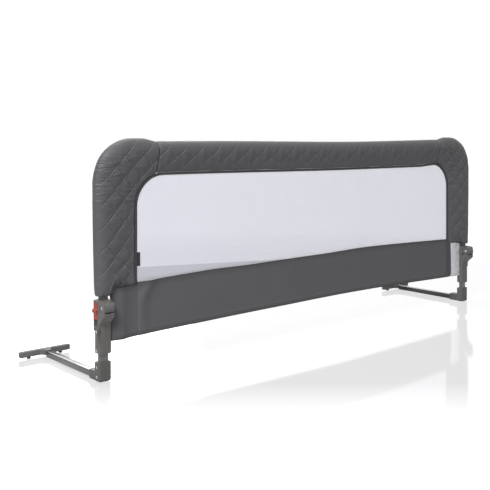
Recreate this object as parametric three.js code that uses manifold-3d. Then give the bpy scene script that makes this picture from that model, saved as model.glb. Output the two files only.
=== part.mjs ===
// A folding guard rail for the open side of a bed.
// Two steel arms go under the mattress and end in T-shaped feet. At the edge of the bed each arm
// turns up through a moulded elbow into a short leg, and a two-shell housing on top of the leg
// holds the hinge. A frame of bent tube, hidden in a quilted cover with a mesh window and a plain
// lower band, stands on the two hinges and folds outwards and down when both buttons are pressed.
//
// Millimetres. X runs along the rail, Y points to the bed, Z is up and the floor is at zero.
// A side piece is drawn once, with u running outwards from its post, and mirrored for the other.

import * as THREE from 'three';
import { mergeVertices } from 'three/addons/utils/BufferGeometryUtils.js';
import Module from 'manifold-3d';

const wasm = await Module();
wasm.setup();

// Clearances
const SEAT_GAP = 0.3; // between pieces that rest on or grip each other
const TURN_GAP = 0.4; // round what turns or slides
const OVERRUN = 4; // how far a cutting shape runs past what it cuts

// Whole rail
const POST_SPACING = 1246; // from post axis to post axis
const TOP_AXIS_HEIGHT = 469; // axis of the top tube above the floor
const BEND_RADIUS = 70; // bend of the frame tube, on its axis
const PIVOT_HEIGHT = 152.5; // fold axis above the floor
const PIVOT_FORWARD = 19; // fold axis in front of the post axis

// Arm, a rectangular steel tube
const ARM_WIDTH = 15;
const ARM_HEIGHT = 13.5;
const ARM_WALL = 1.2;
const ARM_CORNER = 2;
const ARM_UNDERSIDE = 1.5; // above the floor
const ARM_INSET = 6; // how far it runs past the post axis inside the elbow
const ARM_REACH = 236; // from the post axis to its open end
const ARM_TOP = ARM_UNDERSIDE + ARM_HEIGHT;

// Leg, a flat oval steel tube
const LEG_WIDTH = 23;
const LEG_DEPTH = 11.5;
const LEG_WALL = 1.5;
const LEG_SEAT = 2; // plastic between the arm and the leg
const LEG_SHOWN = 16; // between the elbow and the housing
const LEG_TOP_DROP = 41; // below the pivot
const LEG_BOTTOM = ARM_TOP + LEG_SEAT + SEAT_GAP;
const LEG_TOP = PIVOT_HEIGHT - LEG_TOP_DROP;

// Elbow, two moulded shells
const ELBOW_SIDE_WALL = 4; // beside the leg
const ELBOW_FACE_WALL = 3; // in front of and behind the leg
const ELBOW_SOCKET = 23.7; // how deep the leg stands in it
const ELBOW_CORNER = 5;
const ELBOW_STUB_WALL = 2.5; // beside the arm
const ELBOW_STUB_ROOF = 4; // above the arm
const ELBOW_STUB_LENGTH = 31.25;
const ELBOW_FILLET = 4;
const ELBOW_UPPER_SCREW_DROP = 11; // below the elbow's top
const ELBOW_LOWER_SCREW_SHARE = 0.667; // of the arm's height
const ELBOW_WIDTH = LEG_WIDTH + 2 * ELBOW_SIDE_WALL;
const ELBOW_DEPTH = LEG_DEPTH + 2 * ELBOW_FACE_WALL;
const ELBOW_HEIGHT = LEG_BOTTOM + ELBOW_SOCKET;
const ELBOW_STUB_WIDTH = ARM_WIDTH + 2 * ELBOW_STUB_WALL;
const ELBOW_STUB_HEIGHT = ARM_TOP + ELBOW_STUB_ROOF;
const ELBOW_STUB_REACH = ELBOW_DEPTH / 2 + ELBOW_STUB_LENGTH;
const ELBOW_UPPER_SCREW_HEIGHT = ELBOW_HEIGHT - ELBOW_UPPER_SCREW_DROP;
const ELBOW_LOWER_SCREW_HEIGHT = ARM_UNDERSIDE + ARM_HEIGHT * ELBOW_LOWER_SCREW_SHARE;

// Foot, a T-shaped bar with a tongue in the arm's end
const FOOT_LENGTH = 127;
const FOOT_DEPTH = 13;
const FOOT_HEIGHT = 13;
const FOOT_RISE = 2.5; // its underside above the arm's
const FOOT_EDGE = 2.5; // rounding along its edges
const FOOT_HUB_REACH = 14; // from the arm's end to the bar's near side
const FOOT_FILLET = 9;
const FOOT_TONGUE = 24;
const FOOT_UNDERSIDE = ARM_UNDERSIDE + FOOT_RISE;
const FOOT_TOP = FOOT_UNDERSIDE + FOOT_HEIGHT;
const PAD_RADIUS = 4.5;
const PAD_STUD_RADIUS = 2.4;
const PAD_STUD_HEIGHT = 5;
const PAD_INSET = 24.5; // from the end of the bar

// Frame tube
const TUBE_RADIUS = 10;
const TUBE_WALL = 1.2;
const TUBE_JOINT_RUN = 48; // from the end of the bend to the joint in the top tube
const JOINER_LENGTH = 60;
const JOINER_WALL = 1.4;
const SNAP_RADIUS = 2.5;
const SNAP_SETBACK = 15;
const TUBE_JOINT = BEND_RADIUS + TUBE_JOINT_RUN; // from the post axis

// Knuckle on the fold axis, and the block behind it that holds the frame tube
const KNUCKLE_RADIUS = 12;
const CHEEK_RADIUS = 11;
const CHEEK_INNER_FACE = 8.3; // the inner cheek's face towards the knuckle
const PIVOT_RADIUS = 2.5;
const PIVOT_HEAD_RADIUS = 4;
const PIVOT_HEAD_HEIGHT = 1.3;
const BLOCK_DROP = 5.5; // its underside below the pivot
const BLOCK_RISE = 14.5; // its top above the pivot
const BLOCK_FRONT_WALL = 1.1; // round the tube
const BLOCK_SIDE_WALL = 2.2;
const BLOCK_BACK_WALL = 1.3;
const BLOCK_ROUNDING = 3;
const LATCH_POCKET_DEPTH = 4;
const LATCH_POCKET_ROOF = 1;
const RIVET_RADIUS = 2;
const RIVET_RISE = 7.5; // above the pivot
const BLOCK_BOTTOM = PIVOT_HEIGHT - BLOCK_DROP;
const BLOCK_TOP = PIVOT_HEIGHT + BLOCK_RISE;
const BLOCK_HALF_WIDTH = TUBE_RADIUS + BLOCK_SIDE_WALL;
const BLOCK_BACK = TUBE_RADIUS + BLOCK_BACK_WALL;
const RIVET_HEIGHT = PIVOT_HEIGHT + RIVET_RISE;
const TUBE_BOTTOM = BLOCK_BOTTOM + LATCH_POCKET_DEPTH + LATCH_POCKET_ROOF + SEAT_GAP;

// Room that the knuckle needs to turn: beside it, and behind it where the block's corner swings
const ROOM_HALF_WIDTH = BLOCK_HALF_WIDTH + TURN_GAP;
const BLOCK_SWING = Math.hypot(PIVOT_FORWARD + BLOCK_BACK, BLOCK_DROP);
const ROOM_BACK = BLOCK_SWING - PIVOT_FORWARD + TURN_GAP;

// Hinge housing, two moulded shells
const HOUSING_SIDE_WALL = 3.4; // beside the knuckle
const HOUSING_FACE_WALL = 3.75; // in front of and behind the leg
const HOUSING_BACK_WALL = 2.2; // behind the knuckle
const HOUSING_CORNER = 6;
const HOUSING_RISE = 13.5; // its top above the pivot
const BACK_TAPER_DROP = 22.5; // below the pivot, where its back begins to slope in
const BACK_TAPER_LENGTH = 26;
const BACK_ROUNDING = 5;
const NOSE_REACH = 10; // in front of the pivot
const NOSE_INNER_WALL = 2.7; // inner cheek
const NOSE_OUTER_WALL = 2.6; // outer cheek
const NOSE_LIP_DROP = 10.5; // below the pivot, where the fixed nose ends under the knuckle
const NOSE_TAPER_DROP = 15.5; // below the pivot, where the nose begins to slope in
const NOSE_TAPER_LENGTH = 22;
const NOSE_ROUNDING = 8;
const NOSE_EDGE = 3;
const HOUSING_LOWER_SCREW_RISE = 7; // above the housing's lower end
const HOUSING_UPPER_SCREW_DROP = 9.5; // below the leg's top
const HOUSING_WIDTH = 2 * (ROOM_HALF_WIDTH + HOUSING_SIDE_WALL);
const HOUSING_DEPTH = LEG_DEPTH + 2 * HOUSING_FACE_WALL;
const HOUSING_BOTTOM = ELBOW_HEIGHT + LEG_SHOWN;
const HOUSING_TOP = PIVOT_HEIGHT + HOUSING_RISE;
const HOUSING_BACK = ROOM_BACK + HOUSING_BACK_WALL;
const BACK_TAPER_TOP = PIVOT_HEIGHT - BACK_TAPER_DROP;
const BACK_TAPER_BOTTOM = BACK_TAPER_TOP - BACK_TAPER_LENGTH;
const NOSE_FRONT = PIVOT_FORWARD + NOSE_REACH;
const NOSE_INNER = CHEEK_INNER_FACE + NOSE_INNER_WALL;
const NOSE_OUTER = ROOM_HALF_WIDTH + NOSE_OUTER_WALL;
const NOSE_TAPER_TOP = PIVOT_HEIGHT - NOSE_TAPER_DROP;
const NOSE_TAPER_BOTTOM = NOSE_TAPER_TOP - NOSE_TAPER_LENGTH;
const HOUSING_LOWER_SCREW_HEIGHT = HOUSING_BOTTOM + HOUSING_LOWER_SCREW_RISE;
const HOUSING_UPPER_SCREW_HEIGHT = LEG_TOP - HOUSING_UPPER_SCREW_DROP;

// Release button
const BUTTON_DEPTH = 15; // front to back
const BUTTON_BACK_EDGE = 4.9; // from the housing's back
const BUTTON_HEIGHT = 34;
const BUTTON_DROP = 5; // its top below the housing's
const BUTTON_PLATE = 2.2;
const BUTTON_PROUD = 0.7; // how far its face stands out of the housing
const BUTTON_RIDGE_DROP = 11; // below the button's top
const BUTTON_RIDGE_HEIGHT = 11;
const BUTTON_RIDGE_PROUD = 3.6;
const BUTTON_TRAVEL = 14;
const BUTTON_BACK = HOUSING_BACK - BUTTON_BACK_EDGE;
const BUTTON_FRONT = BUTTON_BACK - BUTTON_DEPTH;
const BUTTON_TOP = HOUSING_TOP - BUTTON_DROP;
const BUTTON_BOTTOM = BUTTON_TOP - BUTTON_HEIGHT;
const BUTTON_FACE = HOUSING_WIDTH / 2 + BUTTON_PROUD;
const BUTTON_SEAT = BUTTON_FACE - BUTTON_PLATE;
const BUTTON_RIDGE_TOP = BUTTON_TOP - BUTTON_RIDGE_DROP;
const BUTTON_RIDGE_BOTTOM = BUTTON_RIDGE_TOP - BUTTON_RIDGE_HEIGHT;

// Latch bolt behind the button, and its spring
const BOLT_WIDTH = 16;
const BOLT_DEPTH = 7.6;
const BOLT_STOP_GAP = 0.5; // left above the leg when the button is right down
const BOLT_ARM_BACK_EDGE = 2; // from the button's back edge
const BOLT_ARM_ROOT = 1.3; // how far it runs into the bolt
const BOLT_ARM_RISE = 3; // above the bolt's lower end
const BOLT_ARM_HEIGHT = 6;
const SPRING_WIRE_RADIUS = 0.5;
const SPRING_ROOM = 0.75; // round the spring inside the leg
const SPRING_CURLS = 5;
const BOLT_TOP = BLOCK_BOTTOM - SEAT_GAP;
const BOLT_BOTTOM = LEG_TOP + BUTTON_TRAVEL + BOLT_STOP_GAP;
const BOLT_ARM_BACK = BUTTON_BACK - BOLT_ARM_BACK_EDGE;
const BOLT_ARM_FRONT = BOLT_DEPTH / 2 - BOLT_ARM_ROOT;
const BOLT_ARM_BOTTOM = BOLT_BOTTOM + BOLT_ARM_RISE;
const BOLT_ARM_TOP = BOLT_ARM_BOTTOM + BOLT_ARM_HEIGHT;
const SPRING_RADIUS = LEG_DEPTH / 2 - LEG_WALL - SPRING_ROOM - SPRING_WIRE_RADIUS;

// Screws
const SCREW_RADIUS = 1.7;
const SCREW_HEAD_RADIUS = 3.2;
const SCREW_HEAD_HEIGHT = 1.6;
const SCREW_HEAD_RECESS = 1.2;
const SCREW_END_WALL = 2; // plastic left beyond the screw's end

// Quilted cover
const NECK = 7.4; // of bare tube between the knuckle and the cover
const COVER_FRONT_PADDING = 7; // over the front and back of the tube
const COVER_OUTER_PADDING = 8.5; // beyond the tube
const COLUMN_SWELL = 5; // more at mid height of a column
const CORNER_SWELL = 6; // more again round a corner
const COVER_EDGE = 4; // half thickness at the window
const COVER_SEAM_RUN = 10.7; // from the joint in the tube to the seam
const COVER_CHANNEL_GAP = 0.5; // round the tube
const QUILT_PUFF = 3;
const QUILT_STEP = 14; // a third of a diamond
const SLEEVE_HANG = 12.3; // how far the sleeve hangs below the column's seam
const SLEEVE_SPARE = 1; // its inner side, wider than its outer side
const COVER_BOTTOM = BLOCK_TOP + NECK;
const COVER_FRONT_SWELL = TUBE_RADIUS + COVER_FRONT_PADDING;
const COVER_OUTER_SWELL = TUBE_RADIUS + COVER_OUTER_PADDING;
const COVER_SEAM = TUBE_JOINT + COVER_SEAM_RUN;
const SLEEVE_INNER = COVER_OUTER_SWELL + SLEEVE_SPARE;

// Window
const WINDOW_EDGE = 80.5; // from the post axis to the mesh
const TOP_BAR_DROP = 53.6; // from the top tube's axis to the mesh
const WINDOW_CORNER = 66;
const WINDOW_FORWARD = 1; // in front of the post axis
const BINDING_WIDTH = 6;
const BINDING_THICKNESS = 5;
const MESH_THICKNESS = 0.8;
const WINDOW_TOP = TOP_AXIS_HEIGHT - TOP_BAR_DROP;

// Lower band, its tape and the tab
const BAND_SETBACK = 0.7; // from the sleeve's inner side
const BAND_DEPTH = 109.7; // from its top edge to its bottom edge at the ends
const BAND_TOP_RISE = 13; // of its top edge towards mid length
const BAND_BOTTOM_RISE = 10;
const BAND_FORWARD = 4; // in front of the post axis
const BAND_THICKNESS = 1.6;
const BAND_HEM_THICKNESS = 2.8;
const BAND_FOLD = 1.6; // depth of the hanging folds near the ends
const BAND_FOLD_SPACING = 34;
const TAPE_WIDTH = 38.8;
const TAPE_THICKNESS = 0.8;
const TAB_WIDTH = 7;
const TAB_HEIGHT = 29;
const TAB_RISE = 39.3; // above the band's ends
const TAB_THICKNESS = 0.6;
const BAND_END = SLEEVE_INNER + BAND_SETBACK; // from the post axis
const BAND_TOP_END = COVER_BOTTOM + SLEEVE_HANG;
const BAND_BOTTOM_END = BAND_TOP_END - BAND_DEPTH;
const TAB_BOTTOM = BAND_TOP_END + TAB_RISE;
const TAB_TOP = TAB_BOTTOM + TAB_HEIGHT;

// Counts of facets
const ARC_STEPS = 4;
const ROUND_SIDES = 12;
const TUBE_SIDES = 10;
const BORE_SIDES = 8;
const TUBE_STEPS = 24;
const SMALL_SIDES = 8;
const BAND_STEPS = 36;
const TAPE_STEPS = 4;

// Colours and finishes
const finish = (color, roughness, metalness) => ({ color, roughness, metalness });
const FINISHES = {
  steel: finish('#5f605c', 0.45, 0.6),
  plastic: finish('#62635e', 0.55, 0),
  rubber: finish('#3a3a3c', 0.85, 0),
  release: finish('#b5383f', 0.45, 0),
  bright: finish('#c9c9c6', 0.3, 0.9),
  cover: finish('#545457', 0.75, 0),
  band: finish('#525255', 0.8, 0),
  binding: finish('#48484c', 0.8, 0),
  mesh: finish('#dcdce6', 0.9, 0),
  tape: finish('#b9b9bd', 0.6, 0),
};

// Plane outlines, as lists of points

function arc(centreA, centreB, radius, from, to, steps = ARC_STEPS) {
  const points = [];
  for (let i = 0; i <= steps; i += 1) {
    const angle = THREE.MathUtils.degToRad(from + ((to - from) * i) / steps);
    points.push([centreA + radius * Math.cos(angle), centreB + radius * Math.sin(angle)]);
  }
  return points;
}

function circle(centreA, centreB, radius, sides = ROUND_SIDES) {
  return arc(centreA, centreB, radius, 0, 360, sides).slice(0, -1);
}

function box(lowA, lowB, highA, highB) {
  return [[lowA, lowB], [highA, lowB], [highA, highB], [lowA, highB]];
}

function roundedBox(lowA, lowB, highA, highB, radius) {
  return [
    ...arc(lowA + radius, lowB + radius, radius, 180, 270),
    ...arc(highA - radius, lowB + radius, radius, 270, 360),
    ...arc(highA - radius, highB - radius, radius, 0, 90),
    ...arc(lowA + radius, highB - radius, radius, 90, 180),
  ];
}

function flatOval(width, depth) {
  const centre = (width - depth) / 2;
  return [...arc(centre, 0, depth / 2, -90, 90), ...arc(-centre, 0, depth / 2, 90, 270)];
}

// Prisms from an outline, along each axis

function extruded(outline, depth, holes = [], edge = 0) {
  const shape = new THREE.Shape(outline.map(([a, b]) => new THREE.Vector2(a, b)));
  for (const hole of holes) {
    shape.holes.push(new THREE.Path(hole.map(([a, b]) => new THREE.Vector2(a, b))));
  }
  return new THREE.ExtrudeGeometry(shape, {
    depth: depth - 2 * edge,
    bevelEnabled: edge > 0,
    bevelThickness: edge,
    bevelSize: edge,
    bevelOffset: -edge,
    bevelSegments: 2,
  }).translate(0, 0, edge);
}

function turnedTo(geometry, axisA, axisB, axisDepth) {
  return geometry.applyMatrix4(new THREE.Matrix4().makeBasis(axisA, axisB, axisDepth));
}

const ALONG_X = new THREE.Vector3(1, 0, 0);
const ALONG_Y = new THREE.Vector3(0, 1, 0);
const ALONG_Z = new THREE.Vector3(0, 0, 1);

// The outline is in X and Y
function prismZ(outline, low, high, holes, edge) {
  return solid(extruded(outline, high - low, holes, edge).translate(0, 0, low));
}

// The outline is in Y and Z
function prismX(outline, low, high, holes) {
  const geometry = extruded(outline, high - low, holes);
  return solid(turnedTo(geometry, ALONG_Y, ALONG_Z, ALONG_X).translate(low, 0, 0));
}

// The outline is in X and Z
function prismY(outline, low, high, holes) {
  const geometry = extruded(outline, high - low, holes);
  return solid(turnedTo(geometry, ALONG_X, ALONG_Z, ALONG_Y.clone().negate()).translate(0, high, 0));
}

// Solids for cutting and joining

function solid(geometry) {
  const bare = new THREE.BufferGeometry();
  bare.setAttribute('position', geometry.getAttribute('position').clone());
  if (geometry.index) {
    bare.setIndex(geometry.index.clone());
  }
  const merged = mergeVertices(bare);
  const triVerts = [];
  for (let i = 0; i < merged.index.count; i += 3) {
    const [a, b, c] = [0, 1, 2].map((k) => merged.index.getX(i + k));
    if (a !== b && b !== c && c !== a) {
      triVerts.push(a, b, c);
    }
  }
  return new wasm.Manifold(new wasm.Mesh({
    numProp: 3,
    vertProperties: merged.getAttribute('position').array,
    triVerts: new Uint32Array(triVerts),
  }));
}

function geometryOf(body, side = 1) {
  const mesh = body.getMesh();
  const positions = new Float32Array(mesh.vertProperties);
  const index = new Uint32Array(mesh.triVerts);
  if (side < 0) {
    for (let i = 0; i < index.length; i += 3) {
      [index[i], index[i + 1]] = [index[i + 1], index[i]];
    }
  }
  const geometry = new THREE.BufferGeometry();
  geometry.setAttribute('position', new THREE.BufferAttribute(positions, 3));
  geometry.setIndex(new THREE.BufferAttribute(index, 1));
  geometry.scale(side, 1, 1);
  geometry.computeVertexNormals();
  return geometry;
}

function without(body, ...cuts) {
  return cuts.reduce((rest, cut) => rest.subtract(cut), body);
}

// A turned piece along X, from its profile as pairs of radius and place along X
function turned(profile, y, z, sides = SMALL_SIDES) {
  const points = profile.map(([radius, along]) => new THREE.Vector2(radius, along));
  const geometry = new THREE.LatheGeometry(points, sides);
  return solid(turnedTo(geometry, ALONG_Y, ALONG_X, ALONG_Z.clone().negate()).translate(0, y, z));
}

function rodX(radius, low, high, y, z, sides = SMALL_SIDES) {
  return prismX(circle(y, z, radius, sides), low, high);
}

// Leg and arm

function leg() {
  const bore = flatOval(LEG_WIDTH - 2 * LEG_WALL, LEG_DEPTH - 2 * LEG_WALL);
  const tube = prismZ(flatOval(LEG_WIDTH, LEG_DEPTH), LEG_BOTTOM, LEG_TOP, [bore]);
  const heights = [ELBOW_UPPER_SCREW_HEIGHT, HOUSING_LOWER_SCREW_HEIGHT, HOUSING_UPPER_SCREW_HEIGHT];
  return without(tube, ...heights.map((height) => screwHole(LEG_WIDTH, height)));
}

function legSocket(bottom, top) {
  return prismZ(flatOval(LEG_WIDTH + 2 * SEAT_GAP, LEG_DEPTH + 2 * SEAT_GAP), bottom, top);
}

function armOutline(grow) {
  const half = ARM_WIDTH / 2 + grow;
  const bottom = ARM_UNDERSIDE - grow;
  const top = ARM_UNDERSIDE + ARM_HEIGHT + grow;
  return grow < 0 ? box(-half, bottom, half, top) : roundedBox(-half, bottom, half, top, ARM_CORNER);
}

function arm() {
  const tube = prismY(armOutline(0), -ARM_INSET, ARM_REACH, [armOutline(-ARM_WALL)]);
  return without(tube, screwHole(ARM_WIDTH, ELBOW_LOWER_SCREW_HEIGHT));
}

// Elbow

function elbowPlan() {
  const halfWidth = ELBOW_WIDTH / 2;
  const halfDepth = ELBOW_DEPTH / 2;
  const halfStub = ELBOW_STUB_WIDTH / 2;
  const backCorner = ELBOW_CORNER / 2;
  const stubCorner = ELBOW_CORNER / 2;
  return [
    ...arc(-halfWidth + ELBOW_CORNER, -halfDepth + ELBOW_CORNER, ELBOW_CORNER, 180, 270),
    ...arc(halfWidth - ELBOW_CORNER, -halfDepth + ELBOW_CORNER, ELBOW_CORNER, 270, 360),
    ...arc(halfWidth - backCorner, halfDepth - backCorner, backCorner, 0, 90),
    [halfStub, halfDepth],
    ...arc(halfStub - stubCorner, ELBOW_STUB_REACH - stubCorner, stubCorner, 0, 90),
    ...arc(-halfStub + stubCorner, ELBOW_STUB_REACH - stubCorner, stubCorner, 90, 180),
    [-halfStub, halfDepth],
    ...arc(-halfWidth + backCorner, halfDepth - backCorner, backCorner, 90, 180),
  ];
}

function elbowSide() {
  const halfDepth = ELBOW_DEPTH / 2;
  const topCorner = ELBOW_CORNER / 3;
  const stubCorner = ELBOW_CORNER / 2;
  return [
    ...arc(-halfDepth + ELBOW_CORNER, ELBOW_CORNER, ELBOW_CORNER, 180, 270),
    [ELBOW_STUB_REACH, 0],
    ...arc(ELBOW_STUB_REACH - stubCorner, ELBOW_STUB_HEIGHT - stubCorner, stubCorner, 0, 90),
    ...arc(halfDepth + ELBOW_FILLET, ELBOW_STUB_HEIGHT + ELBOW_FILLET, ELBOW_FILLET, 270, 180),
    ...arc(halfDepth - topCorner, ELBOW_HEIGHT - topCorner, topCorner, 0, 90),
    ...arc(-halfDepth + topCorner, ELBOW_HEIGHT - topCorner, topCorner, 90, 180),
  ];
}

function elbow() {
  const plan = prismZ(elbowPlan(), 0, ELBOW_HEIGHT);
  const block = plan.intersect(prismX(elbowSide(), -ELBOW_WIDTH / 2, ELBOW_WIDTH / 2));
  return without(
    block,
    legSocket(LEG_BOTTOM - SEAT_GAP, ELBOW_HEIGHT + OVERRUN),
    prismY(armOutline(SEAT_GAP), -ARM_INSET - SEAT_GAP, ELBOW_STUB_REACH + OVERRUN),
    screwWell(ELBOW_WIDTH, ELBOW_UPPER_SCREW_HEIGHT),
    screwWell(ELBOW_WIDTH, ELBOW_LOWER_SCREW_HEIGHT),
  );
}

// Screws across the post, with the head on the outer side

function screwHole(width, height) {
  return rodX(SCREW_RADIUS + SEAT_GAP, -width / 2 - OVERRUN, width / 2 + OVERRUN, 0, height);
}

function screwWell(width, height) {
  const half = width / 2;
  const hole = rodX(SCREW_RADIUS + SEAT_GAP, SCREW_END_WALL - SEAT_GAP - half, half + OVERRUN, 0, height);
  const seat = half - SCREW_HEAD_RECESS - SEAT_GAP;
  return hole.add(rodX(SCREW_HEAD_RADIUS + SEAT_GAP, seat, half + OVERRUN, 0, height));
}

function screw(width, height) {
  const half = width / 2;
  const underHead = half - SCREW_HEAD_RECESS;
  const domeShare = 0.6;
  return turned([
    [0, SCREW_END_WALL - half],
    [SCREW_RADIUS, SCREW_END_WALL - half],
    [SCREW_RADIUS, underHead],
    [SCREW_HEAD_RADIUS, underHead],
    [SCREW_HEAD_RADIUS, underHead + SCREW_HEAD_HEIGHT * domeShare],
    [SCREW_HEAD_RADIUS * domeShare, underHead + SCREW_HEAD_HEIGHT],
    [0, underHead + SCREW_HEAD_HEIGHT],
  ], 0, height);
}

// Foot bar and its pads

function footAxis() {
  return ARM_REACH + SEAT_GAP + FOOT_HUB_REACH + FOOT_DEPTH / 2;
}

function padPlace() {
  return FOOT_LENGTH / 2 - PAD_INSET;
}

function footPlan() {
  const halfLength = FOOT_LENGTH / 2;
  const round = FOOT_DEPTH / 2;
  const near = footAxis() - round;
  const fillet = ARM_WIDTH / 2 + FOOT_FILLET;
  return [
    ...arc(-halfLength + round, footAxis(), round, 90, 270),
    ...arc(-fillet, near - FOOT_FILLET, FOOT_FILLET, 90, 0),
    [-ARM_WIDTH / 2, ARM_REACH + SEAT_GAP],
    [ARM_WIDTH / 2, ARM_REACH + SEAT_GAP],
    ...arc(fillet, near - FOOT_FILLET, FOOT_FILLET, 180, 90),
    ...arc(halfLength - round, footAxis(), round, -90, 90),
  ];
}

function foot() {
  const bar = prismZ(footPlan(), FOOT_UNDERSIDE, FOOT_TOP, [], FOOT_EDGE);
  const tongueHalf = ARM_WIDTH / 2 - ARM_WALL - SEAT_GAP;
  const tongueTop = ARM_UNDERSIDE + ARM_HEIGHT - ARM_WALL - SEAT_GAP;
  const tongueOutline = box(-tongueHalf, FOOT_UNDERSIDE, tongueHalf, tongueTop);
  const tongue = prismY(tongueOutline, ARM_REACH - FOOT_TONGUE, footAxis());
  const studHole = circle(0, 0, PAD_STUD_RADIUS + SEAT_GAP, SMALL_SIDES);
  const holes = [-1, 1].map((end) => {
    const hole = prismZ(studHole, FOOT_UNDERSIDE - OVERRUN, FOOT_UNDERSIDE + PAD_STUD_HEIGHT + SEAT_GAP);
    return hole.translate([end * padPlace(), footAxis(), 0]);
  });
  return without(bar.add(tongue), ...holes);
}

function pad(end) {
  const foot = prismZ(circle(0, 0, PAD_RADIUS), 0, FOOT_UNDERSIDE - SEAT_GAP);
  const stud = circle(0, 0, PAD_STUD_RADIUS, SMALL_SIDES);
  const whole = foot.add(prismZ(stud, 0, FOOT_UNDERSIDE + PAD_STUD_HEIGHT));
  return whole.translate([end * padPlace(), footAxis(), 0]);
}

// Hinge housing

function housingPlan() {
  const half = HOUSING_WIDTH / 2;
  const front = -HOUSING_DEPTH / 2;
  const corner = HOUSING_CORNER;
  return [
    ...arc(-NOSE_INNER + NOSE_EDGE, -NOSE_FRONT + NOSE_EDGE, NOSE_EDGE, 180, 270),
    ...arc(NOSE_OUTER - NOSE_EDGE, -NOSE_FRONT + NOSE_EDGE, NOSE_EDGE, 270, 360),
    [NOSE_OUTER, front],
    [half, front + corner / 2],
    ...arc(half - BACK_ROUNDING, HOUSING_BACK - BACK_ROUNDING, BACK_ROUNDING, 0, 90),
    ...arc(-half + BACK_ROUNDING, HOUSING_BACK - BACK_ROUNDING, BACK_ROUNDING, 90, 180),
    ...arc(-half + corner, front + corner, corner, 180, 225, 2),
    [-NOSE_INNER, front],
  ];
}

function housingSide() {
  const half = HOUSING_DEPTH / 2;
  return [
    [-half, BACK_TAPER_BOTTOM],
    [half, BACK_TAPER_BOTTOM],
    [HOUSING_BACK, BACK_TAPER_TOP],
    ...arc(HOUSING_BACK - BACK_ROUNDING, HOUSING_TOP - BACK_ROUNDING, BACK_ROUNDING, 0, 90),
    ...arc(-NOSE_FRONT + NOSE_ROUNDING, HOUSING_TOP - NOSE_ROUNDING, NOSE_ROUNDING, 90, 180),
    [-NOSE_FRONT, NOSE_TAPER_TOP],
    [-half - NOSE_EDGE, NOSE_TAPER_BOTTOM + NOSE_EDGE],
    [-half, NOSE_TAPER_BOTTOM],
  ];
}

// Everything that the knuckle needs clear as it turns: the nose is open above its lip, and the
// block swings up and forwards behind it, beside the round end of the inner cheek
function turningRoom() {
  const top = HOUSING_TOP + OVERRUN;
  const front = -NOSE_FRONT - OVERRUN;
  const swing = box(-PIVOT_FORWARD, BLOCK_BOTTOM - TURN_GAP, ROOM_BACK, top);
  const cheek = rodX(
    CHEEK_RADIUS,
    -ROOM_HALF_WIDTH,
    -CHEEK_INNER_FACE,
    -PIVOT_FORWARD,
    PIVOT_HEIGHT,
    ROUND_SIDES,
  );
  const aboveLip = box(front, PIVOT_HEIGHT - NOSE_LIP_DROP, ROOM_BACK, top);
  const open = prismX(aboveLip, -ROOM_HALF_WIDTH, ROOM_HALF_WIDTH);
  const room = open.add(prismX(swing, -ROOM_HALF_WIDTH, ROOM_HALF_WIDTH)).subtract(cheek);
  const cradleOutline = circle(-PIVOT_FORWARD, PIVOT_HEIGHT, KNUCKLE_RADIUS + TURN_GAP, 2 * ROUND_SIDES);
  return room.add(prismX(cradleOutline, -CHEEK_INNER_FACE, ROOM_HALF_WIDTH));
}

// The shaft in which the latch bolt slides, with the arm to the button behind it
function latchRoom() {
  const front = BOLT_DEPTH / 2 + TURN_GAP;
  const half = BOLT_WIDTH / 2 + TURN_GAP;
  const outline = box(-front, LEG_TOP + SEAT_GAP, BOLT_ARM_BACK + TURN_GAP, BLOCK_BOTTOM);
  return prismX(outline, -half, half);
}

// The track of the button, sunk in the outer face, and the slot behind it
function buttonTrack() {
  const outer = HOUSING_WIDTH / 2 + OVERRUN;
  const track = box(
    BUTTON_FRONT - TURN_GAP,
    BUTTON_BOTTOM - BUTTON_TRAVEL - TURN_GAP,
    BUTTON_BACK + TURN_GAP,
    BUTTON_TOP + TURN_GAP,
  );
  const slot = box(
    BOLT_ARM_FRONT - TURN_GAP,
    BOLT_ARM_BOTTOM - BUTTON_TRAVEL - TURN_GAP,
    BOLT_ARM_BACK + TURN_GAP,
    BOLT_ARM_TOP + TURN_GAP,
  );
  return prismX(track, BUTTON_SEAT - SEAT_GAP, outer).add(prismX(slot, 0, outer));
}

function pivotHoles() {
  const hole = rodX(PIVOT_RADIUS + SEAT_GAP, -HOUSING_WIDTH, HOUSING_WIDTH, -PIVOT_FORWARD, PIVOT_HEIGHT);
  const seat = NOSE_OUTER - PIVOT_HEAD_HEIGHT;
  const well = rodX(PIVOT_HEAD_RADIUS + SEAT_GAP, seat, NOSE_OUTER + OVERRUN, -PIVOT_FORWARD, PIVOT_HEIGHT);
  return hole.add(well);
}

function housing() {
  const half = HOUSING_WIDTH / 2;
  const halfDepth = HOUSING_DEPTH / 2;
  const lowerPlan = roundedBox(-half, -halfDepth, half, halfDepth, HOUSING_CORNER);
  const lower = prismZ(lowerPlan, HOUSING_BOTTOM, BACK_TAPER_TOP);
  const upper = prismX(housingSide(), -half, half);
  const body = lower.add(upper.intersect(prismZ(housingPlan(), BACK_TAPER_BOTTOM, HOUSING_TOP)));
  return without(
    body,
    legSocket(HOUSING_BOTTOM - OVERRUN, LEG_TOP + SEAT_GAP + OVERRUN),
    latchRoom(),
    turningRoom(),
    buttonTrack(),
    pivotHoles(),
    screwWell(HOUSING_WIDTH, HOUSING_LOWER_SCREW_HEIGHT),
    screwWell(HOUSING_WIDTH, HOUSING_UPPER_SCREW_HEIGHT),
  );
}

// Half of a two-shell piece: outer for 1, inner for -1
function shell(body, half, width, top) {
  const near = (half * SEAT_GAP) / 2;
  const far = half * (width / 2 + OVERRUN);
  const reach = ELBOW_STUB_REACH + OVERRUN;
  const outline = box(-reach, -OVERRUN, reach, top + OVERRUN);
  return body.intersect(prismX(outline, Math.min(near, far), Math.max(near, far)));
}

// Hinge knuckle with its pin and rivet

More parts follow.
